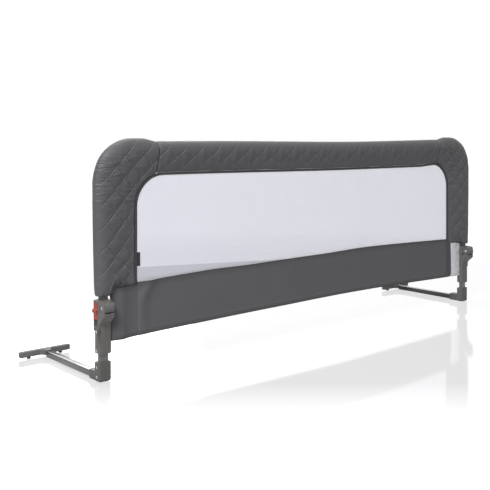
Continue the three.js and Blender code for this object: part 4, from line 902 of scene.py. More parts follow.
def pad_point(pad, i, j, rise):
    """Model place of grid point i along, j across, for the left post."""
    run = pad.run(i)
    x, z, in_x, in_z, stretch = pad.section(run)
    reach = window_reach(x, z, in_x, in_z, BINDING_WIDTH - SEAM_GAP)
    step, outer = abs(j), pad.swell(run) * stretch
    if step <= pad.round_steps:
        angle = math.pi / 2 * step / pad.round_steps
        out, half, lean = -outer * math.cos(angle), COVER_FRONT * math.sin(angle), math.cos(angle)
    else:
        share = (step - pad.round_steps) / pad.taper_steps
        out, lean = reach * share, 0.0
        half = COVER_EDGE + (COVER_FRONT - COVER_EDGE) * (1 - share**TAPER_POWER)
    puff = (rise * pillow(pad.lines(i, j)) - STITCH_DIP) * pad.calm(step)
    out -= puff * lean
    half += puff * math.sqrt(1 - lean**2)
    shift = 0.0
    if pad.ends == "seams" or i > pad.stations / 2:
        from_end = min(i, pad.stations - i) if pad.ends == "seams" else pad.stations - i
        draw = 1 - SEAM_DRAW * (1 - eased(from_end / SEAM_STEPS))
        out, half = (out * draw if out < 0 else out), COVER_EDGE + (half - COVER_EDGE) * draw
        if pad.ends == "seams":
            z -= window_sag(x) if out > 0 else top_sag(x)
    else:
        beside = eased((out - SLEEVE_REACH) / SLEEVE_EASE)
        hem = 1 - eased(i / HEM_STEPS)
        flat = (1 - eased(i / FLAP_STEPS)) * beside
        low = (COVER_FRONT - SLEEVE_THINNER - half) * hem * (1 - beside) * (1 - lean)
        half = (half + low) * (1 - flat) + FLAP_HALF * flat
        shift = FLAP_SHIFT * flat
        z += pad.lift * beside * (1 - eased(i / LIFT_STEPS))
        out *= 1 - SLEEVE_DRAW * hem * (1 - beside) if out < 0 else 1
    return x + out * in_x, shift + math.copysign(half, j) * (step > 0), z + out * in_z


def channel_point(pad, i, j):
    """The same for the wall of the channel that holds the tube."""
    x, z, in_x, in_z, stretch = pad.section(pad.run(i))
    angle = math.pi * j / (pad.half_ring + 0.5)
    out = -CHANNEL_RADIUS * math.cos(angle) * stretch
    return x + out * in_x, CHANNEL_RADIUS * math.sin(angle), z + out * in_z


def model_place(point, side):
    """From a post's own measures, x running inwards, to the model's."""
    x, y, z = point
    return side * (HALF_SPACING - x), POST_Y + y, z


print("channel for the tube, mm across:", round(2000 * CHANNEL_RADIUS, 1))

# %% [markdown]
# The pad's filling pushes the cloth outwards between the stitches. Blender's Cloth does that well:
# pressure inside, gravity off, stitched points held. The simulation gives the shape of each
# pillow, and its height is then scaled to what thin quilting has, and capped. Pulling the grid up
# by a formula alone would leave every diamond the same.

# %% Swelling by simulation
FRAMES = 18
CLOTH_SETTINGS = {
    "quality": 6, "mass": 0.2, "air_damping": 4, "tension_stiffness": 12,
    "compression_stiffness": 12, "shear_stiffness": 4, "bending_stiffness": 0.4,
    "shrink_min": -0.03, "use_pressure": True,
}
PRESSURE = 6.0
USUAL_RISE, MOST_RISE, DRAWN_RISE, QUICK_RISE = 0.0015, 0.0026, 0.0016, 0.0030


def swollen(piece, held):
    """Where the points lie after the cloth has swelled, as an array."""
    group = piece.vertex_groups.new(name="held")
    group.add([int(index) for index in held], 1.0, "REPLACE")
    cloth = piece.modifiers.new("Swelling", "CLOTH")
    for name, value in CLOTH_SETTINGS.items():
        setattr(cloth.settings, name, value)
    cloth.settings.vertex_group_mass = group.name
    cloth.settings.uniform_pressure_force = PRESSURE
    cloth.settings.effector_weights.gravity = 0
    cloth.point_cache.frame_start, cloth.point_cache.frame_end = 1, FRAMES
    for step in range(1, FRAMES + 1):
        bpy.context.scene.frame_set(step)
    made = piece.evaluated_get(bpy.context.evaluated_depsgraph_get())
    after = places_of(made.data)
    piece.modifiers.clear()
    piece.vertex_groups.clear()
    bpy.context.scene.frame_set(1)
    return after


def capped_moves(rest, after, calm):
    """Moves scaled so that a strong one is the usual rise, and none is above the most."""
    moves = (after - rest) * calm[:, None]
    sizes = np.linalg.norm(moves, axis=1)
    strong = np.percentile(sizes[sizes > 1e-5], 90) if (sizes > 1e-5).any() else 1.0
    moves = moves * (USUAL_RISE / strong)
    sizes = np.linalg.norm(moves, axis=1)
    limit = np.minimum(1.0, MOST_RISE / np.maximum(sizes, 1e-9))
    print("  strongest move before scaling, mm:", round(float(strong) * 1000, 2))
    return rest + moves * limit[:, None]


print("cloth frames:", FRAMES, "pressure:", PRESSURE)

# %% [markdown]
# Each cover is built in the same order: a closed ring of cloth with a channel inside it, the
# swelling, one subdivision, and last the small gathers that run across the pad where it is
# stretched round the tube. Gathers are stronger on the outer side and in the corners, as the
# cloth there has too much length.

# %% Gathers
GATHER_ALONG, GATHER_ACROSS = 0.012, 0.05
CREASE_ALONG, CREASE_ACROSS = 0.03, 0.07
GATHER_HEIGHT, CORNER_GATHER = 0.0004, 0.0011
CORNER_FROM, CORNER_RUN = 0.30, 0.22


def marked(mesh, name, values):
    layer = mesh.attributes.new(name, "FLOAT", "POINT")
    layer.data.foreach_set("value", np.asarray(values, float))


def read_mark(mesh, name):
    values = np.zeros(len(mesh.vertices))
    mesh.attributes[name].data.foreach_get("value", values)
    return values


def gathered(mesh, pad, seed):
    """Small gathers across the pad, as moves along the surface's own direction."""
    run, across = read_mark(mesh, "run"), read_mark(mesh, "across")
    points = places_of(mesh)
    outwards = np.array([normal.vector for normal in mesh.vertex_normals])
    heights = np.zeros(len(points))
    for index in np.nonzero(run >= 0)[0]:
        inner = eased((abs(across[index]) - 0.016) / 0.02)
        corner = math.sin(math.pi * min(1.0, max(0.0, (run[index] - CORNER_FROM) / CORNER_RUN)))
        corner = corner if pad.ends == "foot" else 0.0
        strength = (GATHER_HEIGHT + CORNER_GATHER * corner) * (0.3 + 0.7 * inner)
        x, _, z = points[index]
        place = Vector((z / GATHER_ALONG, x / GATHER_ACROSS, seed))
        crease = Vector((run[index] / CREASE_ALONG, across[index] / CREASE_ACROSS, seed + 7))
        heights[index] = (noise.noise(place) + 0.6 * noise.noise(crease)) * strength
    moved = points + outwards * heights[:, None]
    mesh.vertices.foreach_set("co", moved.ravel())
    for name in ("run", "across"):
        mesh.attributes.remove(mesh.attributes[name])


print("gathers, mm high:", GATHER_HEIGHT * 1000, "and in corners", CORNER_GATHER * 1000, "more")

# %% [markdown]
# The cover's own rows and the channel's rows make one ring, so that the cloth is a closed tube
# with the frame inside it. Points on stitches, at the ends and along the window are held while
# the rest swells. Named attributes keep for each point how many stitch lines lie before it, and
# the cloth's material draws its grooves from them.

# %% Making a cover
def cover_piece(pad, side, seed):
    ring = range(-pad.half_ring, pad.half_ring + 1)
    rise = DRAWN_RISE
    rows, runs = [], []
    for i in range(pad.stations + 1):
        rows.append([pad_point(pad, i, j, rise) for j in ring])
        runs.append(pad.run(i))
    channel = [[channel_point(pad, i, j) for j in ring] for i in range(0, pad.stations + 1, 4)]
    channel.reverse()
    pairs = (rows[-1], channel[0]), (rows[0], channel[-1])
    near, far = (np.mean(pair, axis=0).tolist() for pair in pairs)
    rows += [near, *channel, far]
    runs += [-1.0] * (len(channel) + 2)
    placed_rows = [[model_place(point, side) for point in row] for row in rows]
    piece = skinned(pad.name, placed_rows, COVER_CLOTH, wrapped=True)
    width = len(ring)
    marked(piece.data, "run", np.repeat(runs, width))
    marked(piece.data, "across", np.tile([j * STEP for j in ring], len(rows)))
    passed = [pad.lines(min(i, pad.stations), j) for i in range(len(rows)) for j in ring]
    for name, values in zip(("line_sum", "line_gap"), zip(*passed)):
        marked(piece.data, name, values)
    calm = np.tile([pad.calm(abs(j)) for j in ring], len(rows))
    marked(piece.data, "relief", calm)
    skin = (pad.stations + 1) * width
    held = list(range(skin, len(rows) * width))
    for i in range(pad.stations + 1):
        for k, j in enumerate(ring):
            end = i in (0, pad.stations) or abs(j) >= pad.half_ring - 1
            if end or on_stitches(pad.lines(i, j)):
                held.append(i * width + k)
    shaped = capped_moves(places_of(piece.data), swollen(piece, held), calm)
    piece.data.vertices.foreach_set("co", shaped.ravel())
    grid = shaped[:skin].reshape(pad.stations + 1, width, 3)
    finer = piece.modifiers.new("Finer", "SUBSURF")
    finer.levels = finer.render_levels = 1
    with_modifiers_applied(piece)
    gathered(piece.data, pad, seed)
    print(pad.name, "faces:", len(piece.data.polygons))
    return piece, grid


print("rise of the quilting, mm:", USUAL_RISE * 1000)

# %% [markdown]
# The real rail has three covers. The two side ones are one pattern and its mirror image, but beside
# the sleeve the cloth is cut a little higher on the left. The top one lies between them and ends in
# a seam on both sides. Their wadding is thin and springy.

# %% Covers
SIDE_CLOTH = {
    "length": SIDE_END - COVER_LOW, "start": COVER_LOW, "section": side_section,
    "swell": side_swell, "round_steps": 6, "taper_steps": 14, "ends": "foot",
}
LEFT_PAD = Pad("Left_padded_cover", **SIDE_CLOTH, lift=0.0165)
RIGHT_PAD = Pad("Right_padded_cover", **SIDE_CLOTH, lift=0.0085)
TOP_PAD = Pad(
    "Top_padded_cover", length=SPACING - 2 * (COVER_SEAM + SEAM_GAP), start=0.0,
    section=top_section, swell=lambda run: COVER_OUTER + TOP_SWELL, round_steps=5,
    taper_steps=9, ends="seams", lift=0.0,
)
FIRST_SEED, SEED_STEP = 11, 5
covers = []
for pad, side, node in (
    (LEFT_PAD, -1, "left_side_cover"),
    (RIGHT_PAD, 1, "right_side_cover"),
    (TOP_PAD, -1, "top_cover"),
):
    piece, grid = cover_piece(pad, side, FIRST_SEED + SEED_STEP * len(covers))
    placed(piece, "panel", "cover", node)
    covers.append((pad, piece, grid, side))

# %% [markdown]
# Every stitch is a short grain of thread half sunk in the cloth. They all look alike and follow
# lines, so Geometry Nodes place them. Placing thousands of objects in Python would be slow and
# hard to change. Tubes, screws and springs follow rules as well, so one class makes the tree for
# each: it names the inputs, makes nodes, runs the tree on a mesh and keeps what comes out.

# %% A tree maker
class Growth:
    """A geometry node tree with named inputs, which ends in Realize Instances and Set Material."""

    def __init__(self, name, inputs):
        self.group = bpy.data.node_groups.new(name, "GeometryNodeTree")
        face = self.group.interface
        face.new_socket("Geometry", in_out="INPUT", socket_type="NodeSocketGeometry")
        self.keys = {}
        for label, kind in inputs.items():
            made = face.new_socket(label, in_out="INPUT", socket_type="NodeSocket" + kind)
            self.keys[label] = made.identifier
        face.new_socket("Geometry", in_out="OUTPUT", socket_type="NodeSocketGeometry")
        self.start = self.group.nodes.new("NodeGroupInput")
        self.end = self.group.nodes.new("NodeGroupOutput")

    def given(self, label):
        return self.start.outputs[label]

    def node(self, kind, settings=None, inputs=None, output=0):
        node = self.group.nodes.new(kind)
        for name, value in (settings or {}).items():
            setattr(node, name, value)
        for key, value in (inputs or {}).items():
            if isinstance(value, bpy.types.NodeSocket):
                self.group.links.new(value, node.inputs[key])
            else:
                node.inputs[key].default_value = value
        return node.outputs[output]

    def set_on(self, points, thing, **more):
        """One copy of a thing on each point."""
        inputs = {"Points": points, "Instance": thing, **more}
        return self.node("GeometryNodeInstanceOnPoints", {}, inputs)

    def swept(self, curve, radius, corners):
        """A round rod along a curve, with closed ends."""
        inputs = {"Resolution": corners, "Radius": radius}
        circle = self.node("GeometryNodeCurvePrimitiveCircle", {}, inputs)
        inputs = {"Curve": curve, "Profile Curve": circle, "Fill Caps": True}
        rod = self.node("GeometryNodeCurveToMesh", {}, inputs)
        return self.node("GeometryNodeSetShadeSmooth", {}, {"Geometry": rod})

    def turned(self, axis, towards, **more):
        """A rotation with one axis towards a direction, or a given one turned about its X."""
        settings = {"axis": axis, "pivot_axis": "X"} if more else {"axis": axis}
        inputs = {**more, "Vector": towards}
        return self.node("FunctionNodeAlignRotationToVector", settings, inputs)

    def lie(self):
        """The direction that a point's own attribute gives."""
        settings = {"data_type": "FLOAT_VECTOR"}
        return self.node("GeometryNodeInputNamedAttribute", settings, {"Name": "lie"})

    def ends_in(self, geometry):
        real = self.node("GeometryNodeRealizeInstances", {}, {"Geometry": geometry})
        inputs = {"Geometry": real, "Material": self.given("Material")}
        done = self.node("GeometryNodeSetMaterial", {}, inputs)
        self.group.links.new(done, self.end.inputs[0])

    def grow(self, name, source, values):
        """Runs the tree on a mesh and returns the result as a plain piece."""
        seed = added(name + "_lines", source)
        modifier = seed.modifiers.new("Growth", "NODES")
        modifier.node_group = self.group
        for label, value in values.items():
            modifier[self.keys[label]] = value
        mesh = evaluated_mesh(seed)
        mesh.name = name
        seed.modifiers.clear()
        bpy.data.objects.remove(seed)
        print(name, "faces:", len(mesh.polygons))
        return added(name, mesh)


# %% [markdown]
# The tree for stitches turns the lines into curves, marks them off at an even pitch, and sets a
# small ball on each mark, stretched to the length and thickness of a stitch. Each copy is turned
# twice: its long side along the line, and its top away from the cloth. The direction away from
# the cloth comes with the points, in an attribute.

# %% Stitches as a tree
BALL = {"Segments": 6, "Rings": 4, "Radius": 0.5}


def stitch_tree():
    tree = Growth("Stitches", {
        "Pitch": "Float", "Length": "Float", "Thickness": "Float", "Material": "Material",
    })
    curve = tree.node("GeometryNodeMeshToCurve", {}, {"Mesh": tree.given("Geometry")})
    settings, inputs = {"mode": "LENGTH"}, {"Curve": curve, "Length": tree.given("Pitch")}
    marks = tree.node("GeometryNodeResampleCurve", settings, inputs)
    ball = tree.node("GeometryNodeMeshUVSphere", {}, BALL)
    size = tree.node("ShaderNodeCombineXYZ", {}, {
        "X": tree.given("Length"), "Y": tree.given("Thickness"), "Z": tree.given("Thickness"),
    })
    stitch = tree.node("GeometryNodeTransform", {}, {"Geometry": ball, "Scale": size})
    along = tree.turned("X", tree.node("GeometryNodeInputTangent"))
    upright = tree.turned("Z", tree.lie(), Rotation=along)
    tree.ends_in(tree.set_on(marks, stitch, Rotation=upright))
    return tree


STITCHES = stitch_tree()


def lying(mesh, directions):
    """Gives each point the direction in which its copy has to lie."""
    layer = mesh.attributes.new("lie", "FLOAT_VECTOR", "POINT")
    layer.data.foreach_set("vector", np.array(directions, float).ravel())
    return mesh


def sewn(name, lines, thread, pitch=0.005, length=0.0034, thickness=0.0007):
    """Stitches along lines, each a list of (point, direction out of the cloth)."""
    points, ups, edges = [], [], []
    for line in lines:
        first = len(points)
        points += [tuple(point) for point, up in line]
        ups += [tuple(up) for point, up in line]
        edges += [(first + k, first + k + 1) for k in range(len(line) - 1)]
    values = {"Pitch": pitch, "Length": length, "Thickness": thickness, "Material": thread}
    return STITCHES.grow(name, lying(plain_mesh(name, points, edges), ups), values)


print("stitch tree inputs:", list(STITCHES.keys))

# %% [markdown]
# The quilting lines are straight on the flat cloth. Each is marked off in the plane of the rail
# and looked for on the finished pad from the front and from the back, because swelling and
# subdivision have moved the surface. A line stops where the cloth turns away round the edge.

# %% Quilting lines
LOOK_FROM = 0.2  # from the rail's middle plane
SKIN_DEPTH = 0.0045  # no surface nearer to the middle plane counts
FACING = 0.5  # nor one that is turned away by more than 60 degrees
LINES_ACROSS, LINE_STEP = 16, 0.003
PAD_OUTER, PAD_INNER = -0.020, COVER_SEAM - 0.004
LINE_LOW, LINE_HIGH = COVER_LOW + 0.006, TOP_AXIS + 0.020


def surface_of(piece):
    mesh = piece.data
    points = [vertex.co for vertex in mesh.vertices]
    return BVHTree.FromPolygons(points, [polygon.vertices for polygon in mesh.polygons])


def laid_on(surface, points):
    return [surface.find_nearest(Vector(point))[:2] for point in points]


def found_from(surface, x, z, face):
    """The outer surface of a pad at a place in the rail's plane, seen from one side."""
    start, ahead = Vector((x, POST_Y + face * LOOK_FROM, z)), Vector((0, -face, 0))
    place, normal = surface.ray_cast(start, ahead, LOOK_FROM - SKIN_DEPTH)[:2]
    if place is None or abs(normal.y) < FACING:
        return None
    return place, normal if normal.y * face > 0 else -normal


def flat_lines(piece, side):
    """Runs of places on both faces of a side pad, along the straight lines of the flat cloth."""
    surface, lines = surface_of(piece), []
    for face, lean in ((-1, -1), (-1, 1), (1, -1), (1, 1)):
        for number in range(LINES_ACROSS):
            line = []
            for z in np.arange(LINE_LOW, LINE_HIGH, LINE_STEP):
                x = lean * (number * DIAMOND_WIDTH - z)
                on_pad = PAD_OUTER < x < PAD_INNER
                found = found_from(surface, side * (HALF_SPACING - x), z, face) if on_pad else None
                if found:
                    line.append(found)
                else:
                    lines.append(line)
                    line = []
            lines.append(line)
    return [line for line in lines if len(line) > 2]


def diagonal_lines(pad, piece, grid):
    """The same for the top pad, where the rows of points follow the flat cloth."""
    surface, lines = surface_of(piece), []
    for lean in (1, -1):
        for number in range(-4, pad.stations // DIAMOND + 4):
            points = []
            for i in range(2, pad.stations - 1):
                j = lean * (DIAMOND * number - i)
                if abs(j) < pad.half_ring - 1:
                    points.append(grid[i][j + pad.half_ring])
            if len(points) > 2:
                lines.append(laid_on(surface, points))
    return lines


def hem_lines(pad, piece, grid):
    """Lines across a pad beside its ends."""
    surface = surface_of(piece)
    places = [pad.stations - 1, 1 if pad.ends == "seams" else 2]
    return [laid_on(surface, grid[i]) for i in places]


print("places along a line:", len(np.arange(LINE_LOW, LINE_HIGH, LINE_STEP)))

# %% [markdown]
# Each cover now gets two kinds of stitches: long pale ones along the diamonds, and short dark ones
# along the seams at its ends. They are separate pieces, because they are made of another thread,
# and ride on the panel with the cover.

# %% Quilting stitches
SEAM_STITCH = {"pitch": 0.0035, "length": 0.0026, "thickness": 0.0006}
for pad, piece, grid, side in covers:
    straight = pad.ends == "foot"
    lines = flat_lines(piece, side) if straight else diagonal_lines(pad, piece, grid)
    name = piece.name.replace("padded_cover", "quilting")
    placed(sewn(name, lines, PALE_THREAD), "panel", "cover")
    name = piece.name.replace("padded_cover", "seam_stitches")
    lines = hem_lines(pad, piece, grid)
    placed(sewn(name, lines, DARK_THREAD, **SEAM_STITCH), "panel", "cover")

# %% [markdown]
# A narrow binding runs round the window and holds the net to the pads. It is a folded strip, a
# little fuller in the middle, slightly puckered where it turns the corners. It is swept along the
# window's outline, which keeps its width even.

# %% Window outline
OUTLINE_STEP = 0.006
BAND_BOW, BAND_LOW_BOW = 0.013, 0.010
BAND_EASE = 0.001


def window_outline(margin, foot):
    """Points from the left foot, over the top, to the right foot, with directions outwards."""
    edge, top, radius = WINDOW_EDGE - margin, WINDOW_TOP + margin, WINDOW_CORNER + margin
    rise = np.arange(foot, top - radius, OUTLINE_STEP)
    points = [((edge, z), (-1.0, 0.0)) for z in rise]
    turns = max(8, round(radius * math.pi / 2 / OUTLINE_STEP))
    for k in range(turns + 1):
        angle = math.pi / 2 * k / turns
        cos, sin = math.cos(angle), math.sin(angle)
        place = (edge + radius - radius * cos, top - radius + radius * sin)
        points.append((place, (-cos, sin)))
    span = np.arange(edge + radius + OUTLINE_STEP, SPACING / 2, OUTLINE_STEP)
    points += [((x, top), (0.0, 1.0)) for x in span]
    far = [((SPACING - x, z), (-out_x, out_z)) for (x, z), (out_x, out_z) in reversed(points)]
    return [((x, z - window_sag(x)), outwards) for (x, z), outwards in points + far]


def band_top(x):
    """The band's upper edge, which bows upwards and is fuller towards both ends."""
    near = 0.0036 * (1 - eased((x - 0.26) / 0.15)) * eased((x - WINDOW_EDGE + 0.012) / 0.012)
    far = 0.0045 * eased((x - 0.62) / 0.2)
    return BAND_HIGH + BAND_BOW * math.sin(math.pi * x / SPACING) + (near + far)


def band_bottom(x):
    ends = 0.0012 * (1 - eased((x - 0.1) / 0.2)) + 0.0020 * eased((x - 0.5) / 0.25)
    return BAND_LOW + BAND_EASE + BAND_LOW_BOW * math.sin(math.pi * x / SPACING) + ends


print("band's height at its middle, mm:",
      round((band_top(HALF_SPACING) - band_bottom(HALF_SPACING)) * 1000, 1))

# %% [markdown]
# The binding's section is a flattened oval, nearly a rectangle with round corners, like a folded
# strip that has been pressed. Its depth changes a little from row to row, as sewing puckers it.
# Two rows of short stitches run beside its inner edge, one on each face.

# %% Binding
BINDING_CORNERS = 14
BINDING_HALF, BINDING_DEPTH, BINDING_PUCKER = 0.0030, 0.0025, 0.06
STITCH_MARGIN, STITCH_FOOT, STITCH_DEPTH = 0.0014, 0.004, 0.0024
BINDING_STITCH = {"pitch": 0.0034, "length": 0.0024, "thickness": 0.0005}


def binding_piece():
    outline = window_outline(BINDING_WIDTH / 2, band_top(WINDOW_EDGE) - 0.001)
    rows = []
    for index, ((x, z), (out_x, out_z)) in enumerate(outline):
        pucker = 1 + BINDING_PUCKER * noise.noise(Vector((index * 0.7, 3.0, 0.0)))
        row = []
        for k in range(BINDING_CORNERS):
            angle = 2 * math.pi * k / BINDING_CORNERS
            cos, sin = math.cos(angle), math.sin(angle)
            across = BINDING_HALF * math.copysign(abs(cos) ** 0.4, cos)
            depth = BINDING_DEPTH * math.copysign(abs(sin) ** 0.5, sin) * pucker
            row.append((x + across * out_x - HALF_SPACING, WINDOW_Y + depth, z + across * out_z))
        rows.append(row)
    return skinned("Window_binding", rows, BINDING_CLOTH)


binding = placed(binding_piece(), "panel", "binding", "window_binding")
edge_line = window_outline(STITCH_MARGIN, band_top(WINDOW_EDGE) + STITCH_FOOT)
lines = [
    [((x - HALF_SPACING, WINDOW_Y + face * STITCH_DEPTH, z), (0, face, 0))
     for (x, z), _ in edge_line] for face in (-1, 1)
]
placed(sewn("Binding_stitches", lines, DARK_THREAD, **BINDING_STITCH), "panel", "binding")
print("binding faces:", len(binding.data.polygons))

# %% [markdown]
# The net is one thin sheet stretched in the binding. Its columns of points stand closer together
# near the posts, where the rounded corners need them. A hint of slack lets it wave by less than
# a millimetre. It is given a real thickness, so it is a closed piece as in the model. Its map is
# the same on both faces, so that each hole goes straight through.

# %% Sheets
TUCKED = 0.001  # how far the net reaches into the binding
COLUMNS = 200
NET_LEVELS, NET_THICKNESS, NET_WAVE = 24, 0.0001, 0.0010


def net_columns():
    start, inner = WINDOW_EDGE - TUCKED, SPACING - 2 * (WINDOW_EDGE - TUCKED)
    angles = np.linspace(0, math.pi, COLUMNS + 1)
    return [start + inner * (1 - math.cos(angle)) / 2 for angle in angles]


def net_top(x):
    edge, radius = WINDOW_EDGE - TUCKED, WINDOW_CORNER + TUCKED
    inwards = min(x, SPACING - x) - edge
    top = WINDOW_TOP + TUCKED - window_sag(x)
    if inwards >= radius:
        return top
    return top - radius + math.sqrt(max(0.0, radius**2 - (radius - inwards) ** 2))


def sheet_piece(name, columns, levels, low, high, front, thickness, finish):
    """A thin closed sheet over columns of x, between two heights, at a depth rule."""
    rows = []
    for x in columns:
        front_side, back_side = [], []
        for k in range(levels + 1):
            z = low(x) + (high(x) - low(x)) * k / levels
            y, half = front(x, k / levels), thickness(x, k / levels) / 2
            front_side.append((x - HALF_SPACING, y - half, z))
            back_side.append((x - HALF_SPACING, y + half, z))
        rows.append(front_side + back_side[::-1])
    return skinned(name, rows, finish)


def net_depth(x, share):
    wave = noise.noise(Vector((x * 9, share * 2.5, 1.0)))
    held = math.sin(math.pi * share) ** 0.5 if 0 < share < 1 else 0.0
    return WINDOW_Y + NET_WAVE * wave * held


print("columns of the net:", len(net_columns()))

# %% [markdown]
# The sheet's flat size is what the net measures when it is laid on a table, with the little that is
# sewn into the binding. Its area is less than width times height, since the upper corners are round
# and the lower edge is bowed. Both are worked out here, but nothing keeps them.

# %% Net window
NET_HEIGHT, NET_MEAN_HEIGHT = 0.232, 0.216
net = sheet_piece(
    "Net_window", net_columns(), NET_LEVELS, lambda x: band_top(x) - 2 * TUCKED, net_top,
    net_depth, lambda x, share: NET_THICKNESS, NET,
)
uv = net.data.uv_layers[0].data
for loop in net.data.loops:
    place = net.data.vertices[loop.vertex_index].co
    uv[loop.index].uv = (place.x, place.z)
net_width = SPACING - 2 * WINDOW_EDGE + 4 * TUCKED
net_width * NET_MEAN_HEIGHT
placed(net, "panel", "mesh", "mesh_window")
print("net faces:", len(net.data.polygons))

# %% [markdown]
# The band hangs from the foot of the window. It has turned hems along both edges, a sewn seam in
# line with the window's left edge, and soft folds near the left post where it is gathered into
# the cover. Its right end has a rounded lower corner. It is shaped by adding up a few gentle
# waves, because its folds are seen in the photograph and a simulation would move them.

# %% Band shape
BAND_RIGHT = SPACING - BAND_END - TAPE_WIDTH - 0.006
SEAM_X, SEAM_RIDGE, SEAM_HALF = WINDOW_EDGE + 0.001, 0.0008, 0.0016
WAVE_DEPTH, WAVE_LENGTH, WAVE_REACH = 0.0012, 0.034, 0.068
FOLD_X, FOLD_DEPTH, FOLD_SIDES = 0.041, 0.0064, (0.009, 0.013)
SLANT_X, SLANT_DEPTH, SLANT_SIDES, SLANT = 0.109, 0.0060, (0.009, 0.018), 0.020
SLACK_DEPTH, GATHER_DEPTH = 0.0012, 0.0005


def band_depth(x, share):
    """How far the band's middle lies from the rail's, at a height given as a share."""
    to_end = min(x - BAND_END, SPACING - BAND_END - x)
    fade = math.exp(-to_end / WAVE_REACH)
    waves = WAVE_DEPTH * fade * math.sin(2 * math.pi * to_end / WAVE_LENGTH)
    straight = FOLD_DEPTH * fold(x - FOLD_X, *FOLD_SIDES)
    centre = SLANT_X - SLANT * eased((1 - share) / 0.4)
    less_low = 0.3 + 0.7 * share
    slanted = SLANT_DEPTH * fold(x - centre, *SLANT_SIDES) * less_low
    seam = SEAM_RIDGE * bell(x - SEAM_X, SEAM_HALF)
    slack = SLACK_DEPTH * noise.noise(Vector((x * 5, share * 1.5, 4.0)))
    gathers = GATHER_DEPTH * noise.noise(Vector((x * 60, share * 0.8, 8.0))) * less_low
    return POST_Y - 0.004 - waves - straight - slanted + seam + slack + gathers


for x in (FOLD_X, SLANT_X, HALF_SPACING):
    print("band's depth, mm:", round((POST_Y - band_depth(x, 0.5)) * 1000, 1))

# %% [markdown]
# Along both edges the cloth lies double in a hem, so it is twice as thick there. The columns of
# points stand evenly, but closer together at the seam and in the rounded corner.

# %% Hems and edges
HEM, HEM_SLOPE = 0.0105, 0.0012
BAND_THICKNESS = 0.0011
BAND_CORNER, CORNER_COLUMNS = 0.012, 8
BAND_STEP = 0.0065
UNDER_COVERS = 0.005


def band_thickness(x, share):
    height = band_top(x) - band_bottom(x)
    to_edge = min(share, 1 - share) * height
    doubled = 1 - eased((to_edge - HEM) / HEM_SLOPE)
    return BAND_THICKNESS + BAND_THICKNESS * doubled


def band_low_edge(x):
    inwards = BAND_RIGHT - x
    if inwards >= BAND_CORNER:
        return band_bottom(x)
    half_chord = math.sqrt(max(0.0, BAND_CORNER**2 - (BAND_CORNER - inwards) ** 2))
    return band_bottom(x) + BAND_CORNER - half_chord


def band_high_edge(x):
    beside_window = x < WINDOW_EDGE or x > SPACING - WINDOW_EDGE
    return band_top(x) + (UNDER_COVERS if beside_window else 0.0)


def band_columns():
    even = list(np.arange(BAND_END, BAND_RIGHT, BAND_STEP))
    seam = [SEAM_X + d for d in (-0.003, -0.0016, -0.0008, 0, 0.0008, 0.0016, 0.003)]
    turns = [math.pi / 2 * k / CORNER_COLUMNS for k in range(CORNER_COLUMNS + 1)]
    corner = [BAND_RIGHT - BAND_CORNER * (1 - math.sin(turn)) for turn in turns]
    return sorted(set(round(x, 6) for x in even + seam + corner))


print("columns of the band:", len(band_columns()))

# %% [markdown]
# Along the hems the band is a little darker, and a painted shade darkens its edges, its right end
# together with the hem there, and the place where it goes up behind the cover. Each point is marked
# with how much of a hem and of painted shade it has, and the finish reads that mark. The left end
# is then drawn in under the cover. The flat size, which includes the slack and what is sewn in at
# the ends, and the area, which leaves both out, are worked out here, but nothing keeps them.

# %% Band
BAND_LEVELS = 52
BAND_HEIGHT, BAND_CUT_HEIGHT = 0.1165, 0.120
# The edge, side and cover marks are painted shade: a dark line along both edges, the right end
# darkened together with its hem, and the deep shade where the band goes up behind the cover.
HEM_MARK, EDGE_SHADE_MARK, EDGE_SHADE_REACH = 0.45, 0.90, 0.005
SIDE_HEM_SHADE_WIDTH, SIDE_SLOPE, SIDE_HEM_SHADE_MARK = 0.026, 0.006, 0.8
COVER_SHADE_HEIGHT, COVER_SHADE_HALF, COVER_SHADE_MARK = 0.1885, 0.0020, 2
DRAWN_LENGTH, DRAWN_LEAST, DRAWN_MORE = 0.014, 0.0034, 0.0033


# How much of a hem and of painted shade a point of the band has.
def hem_and_shade_mark(x, z):
    to_edge = min(z - band_bottom(x), band_top(x) - z)
    hem = HEM_MARK * (1 - eased((to_edge - HEM + 0.0008) / HEM_SLOPE))
    hem += EDGE_SHADE_MARK * (1 - eased(to_edge / EDGE_SHADE_REACH))
    side = SIDE_HEM_SHADE_MARK * eased((x - BAND_RIGHT + SIDE_HEM_SHADE_WIDTH) / SIDE_SLOPE)
    # seam: the painted shade where the band goes up behind the cover.
    seam = COVER_SHADE_MARK * bell(z - COVER_SHADE_HEIGHT, COVER_SHADE_HALF)
    return max(hem, side, seam if x < WINDOW_EDGE else 0.0)


band = sheet_piece(
    "Lower_band_cloth", band_columns(), BAND_LEVELS, band_low_edge, band_high_edge,
    band_depth, band_thickness, BAND_CLOTH,
)
hem_and_shade_marks = []
for vertex in band.data.vertices:
    x, z = vertex.co.x + HALF_SPACING, vertex.co.z
    hem_and_shade_marks.append(hem_and_shade_mark(x, z))
    if x < BAND_END + DRAWN_LENGTH:
        near_end = 1 - (x - BAND_END) / DRAWN_LENGTH
        vertex.co.x -= near_end * (DRAWN_LEAST + DRAWN_MORE * eased((z - 0.164) / 0.006))
marked(band.data, "hem", hem_and_shade_marks)
band_width = BAND_RIGHT - BAND_END
band_width + 0.010
band_width * BAND_HEIGHT
placed(band, "panel", "band", "lower_band")
print("band faces:", len(band.data.polygons))

# %% [markdown]
# One row of stitches runs along each hem and two beside the seam, the same on both faces. Their
# places come from the band's own formulas, so they lie on it wherever it folds.

# %% Band stitches
STITCH_STEP = 0.004
BESIDE_SEAM, SEAM_POINTS = 0.0028, 24
BAND_STITCH = {"pitch": 0.004, "length": 0.0029, "thickness": 0.0006}


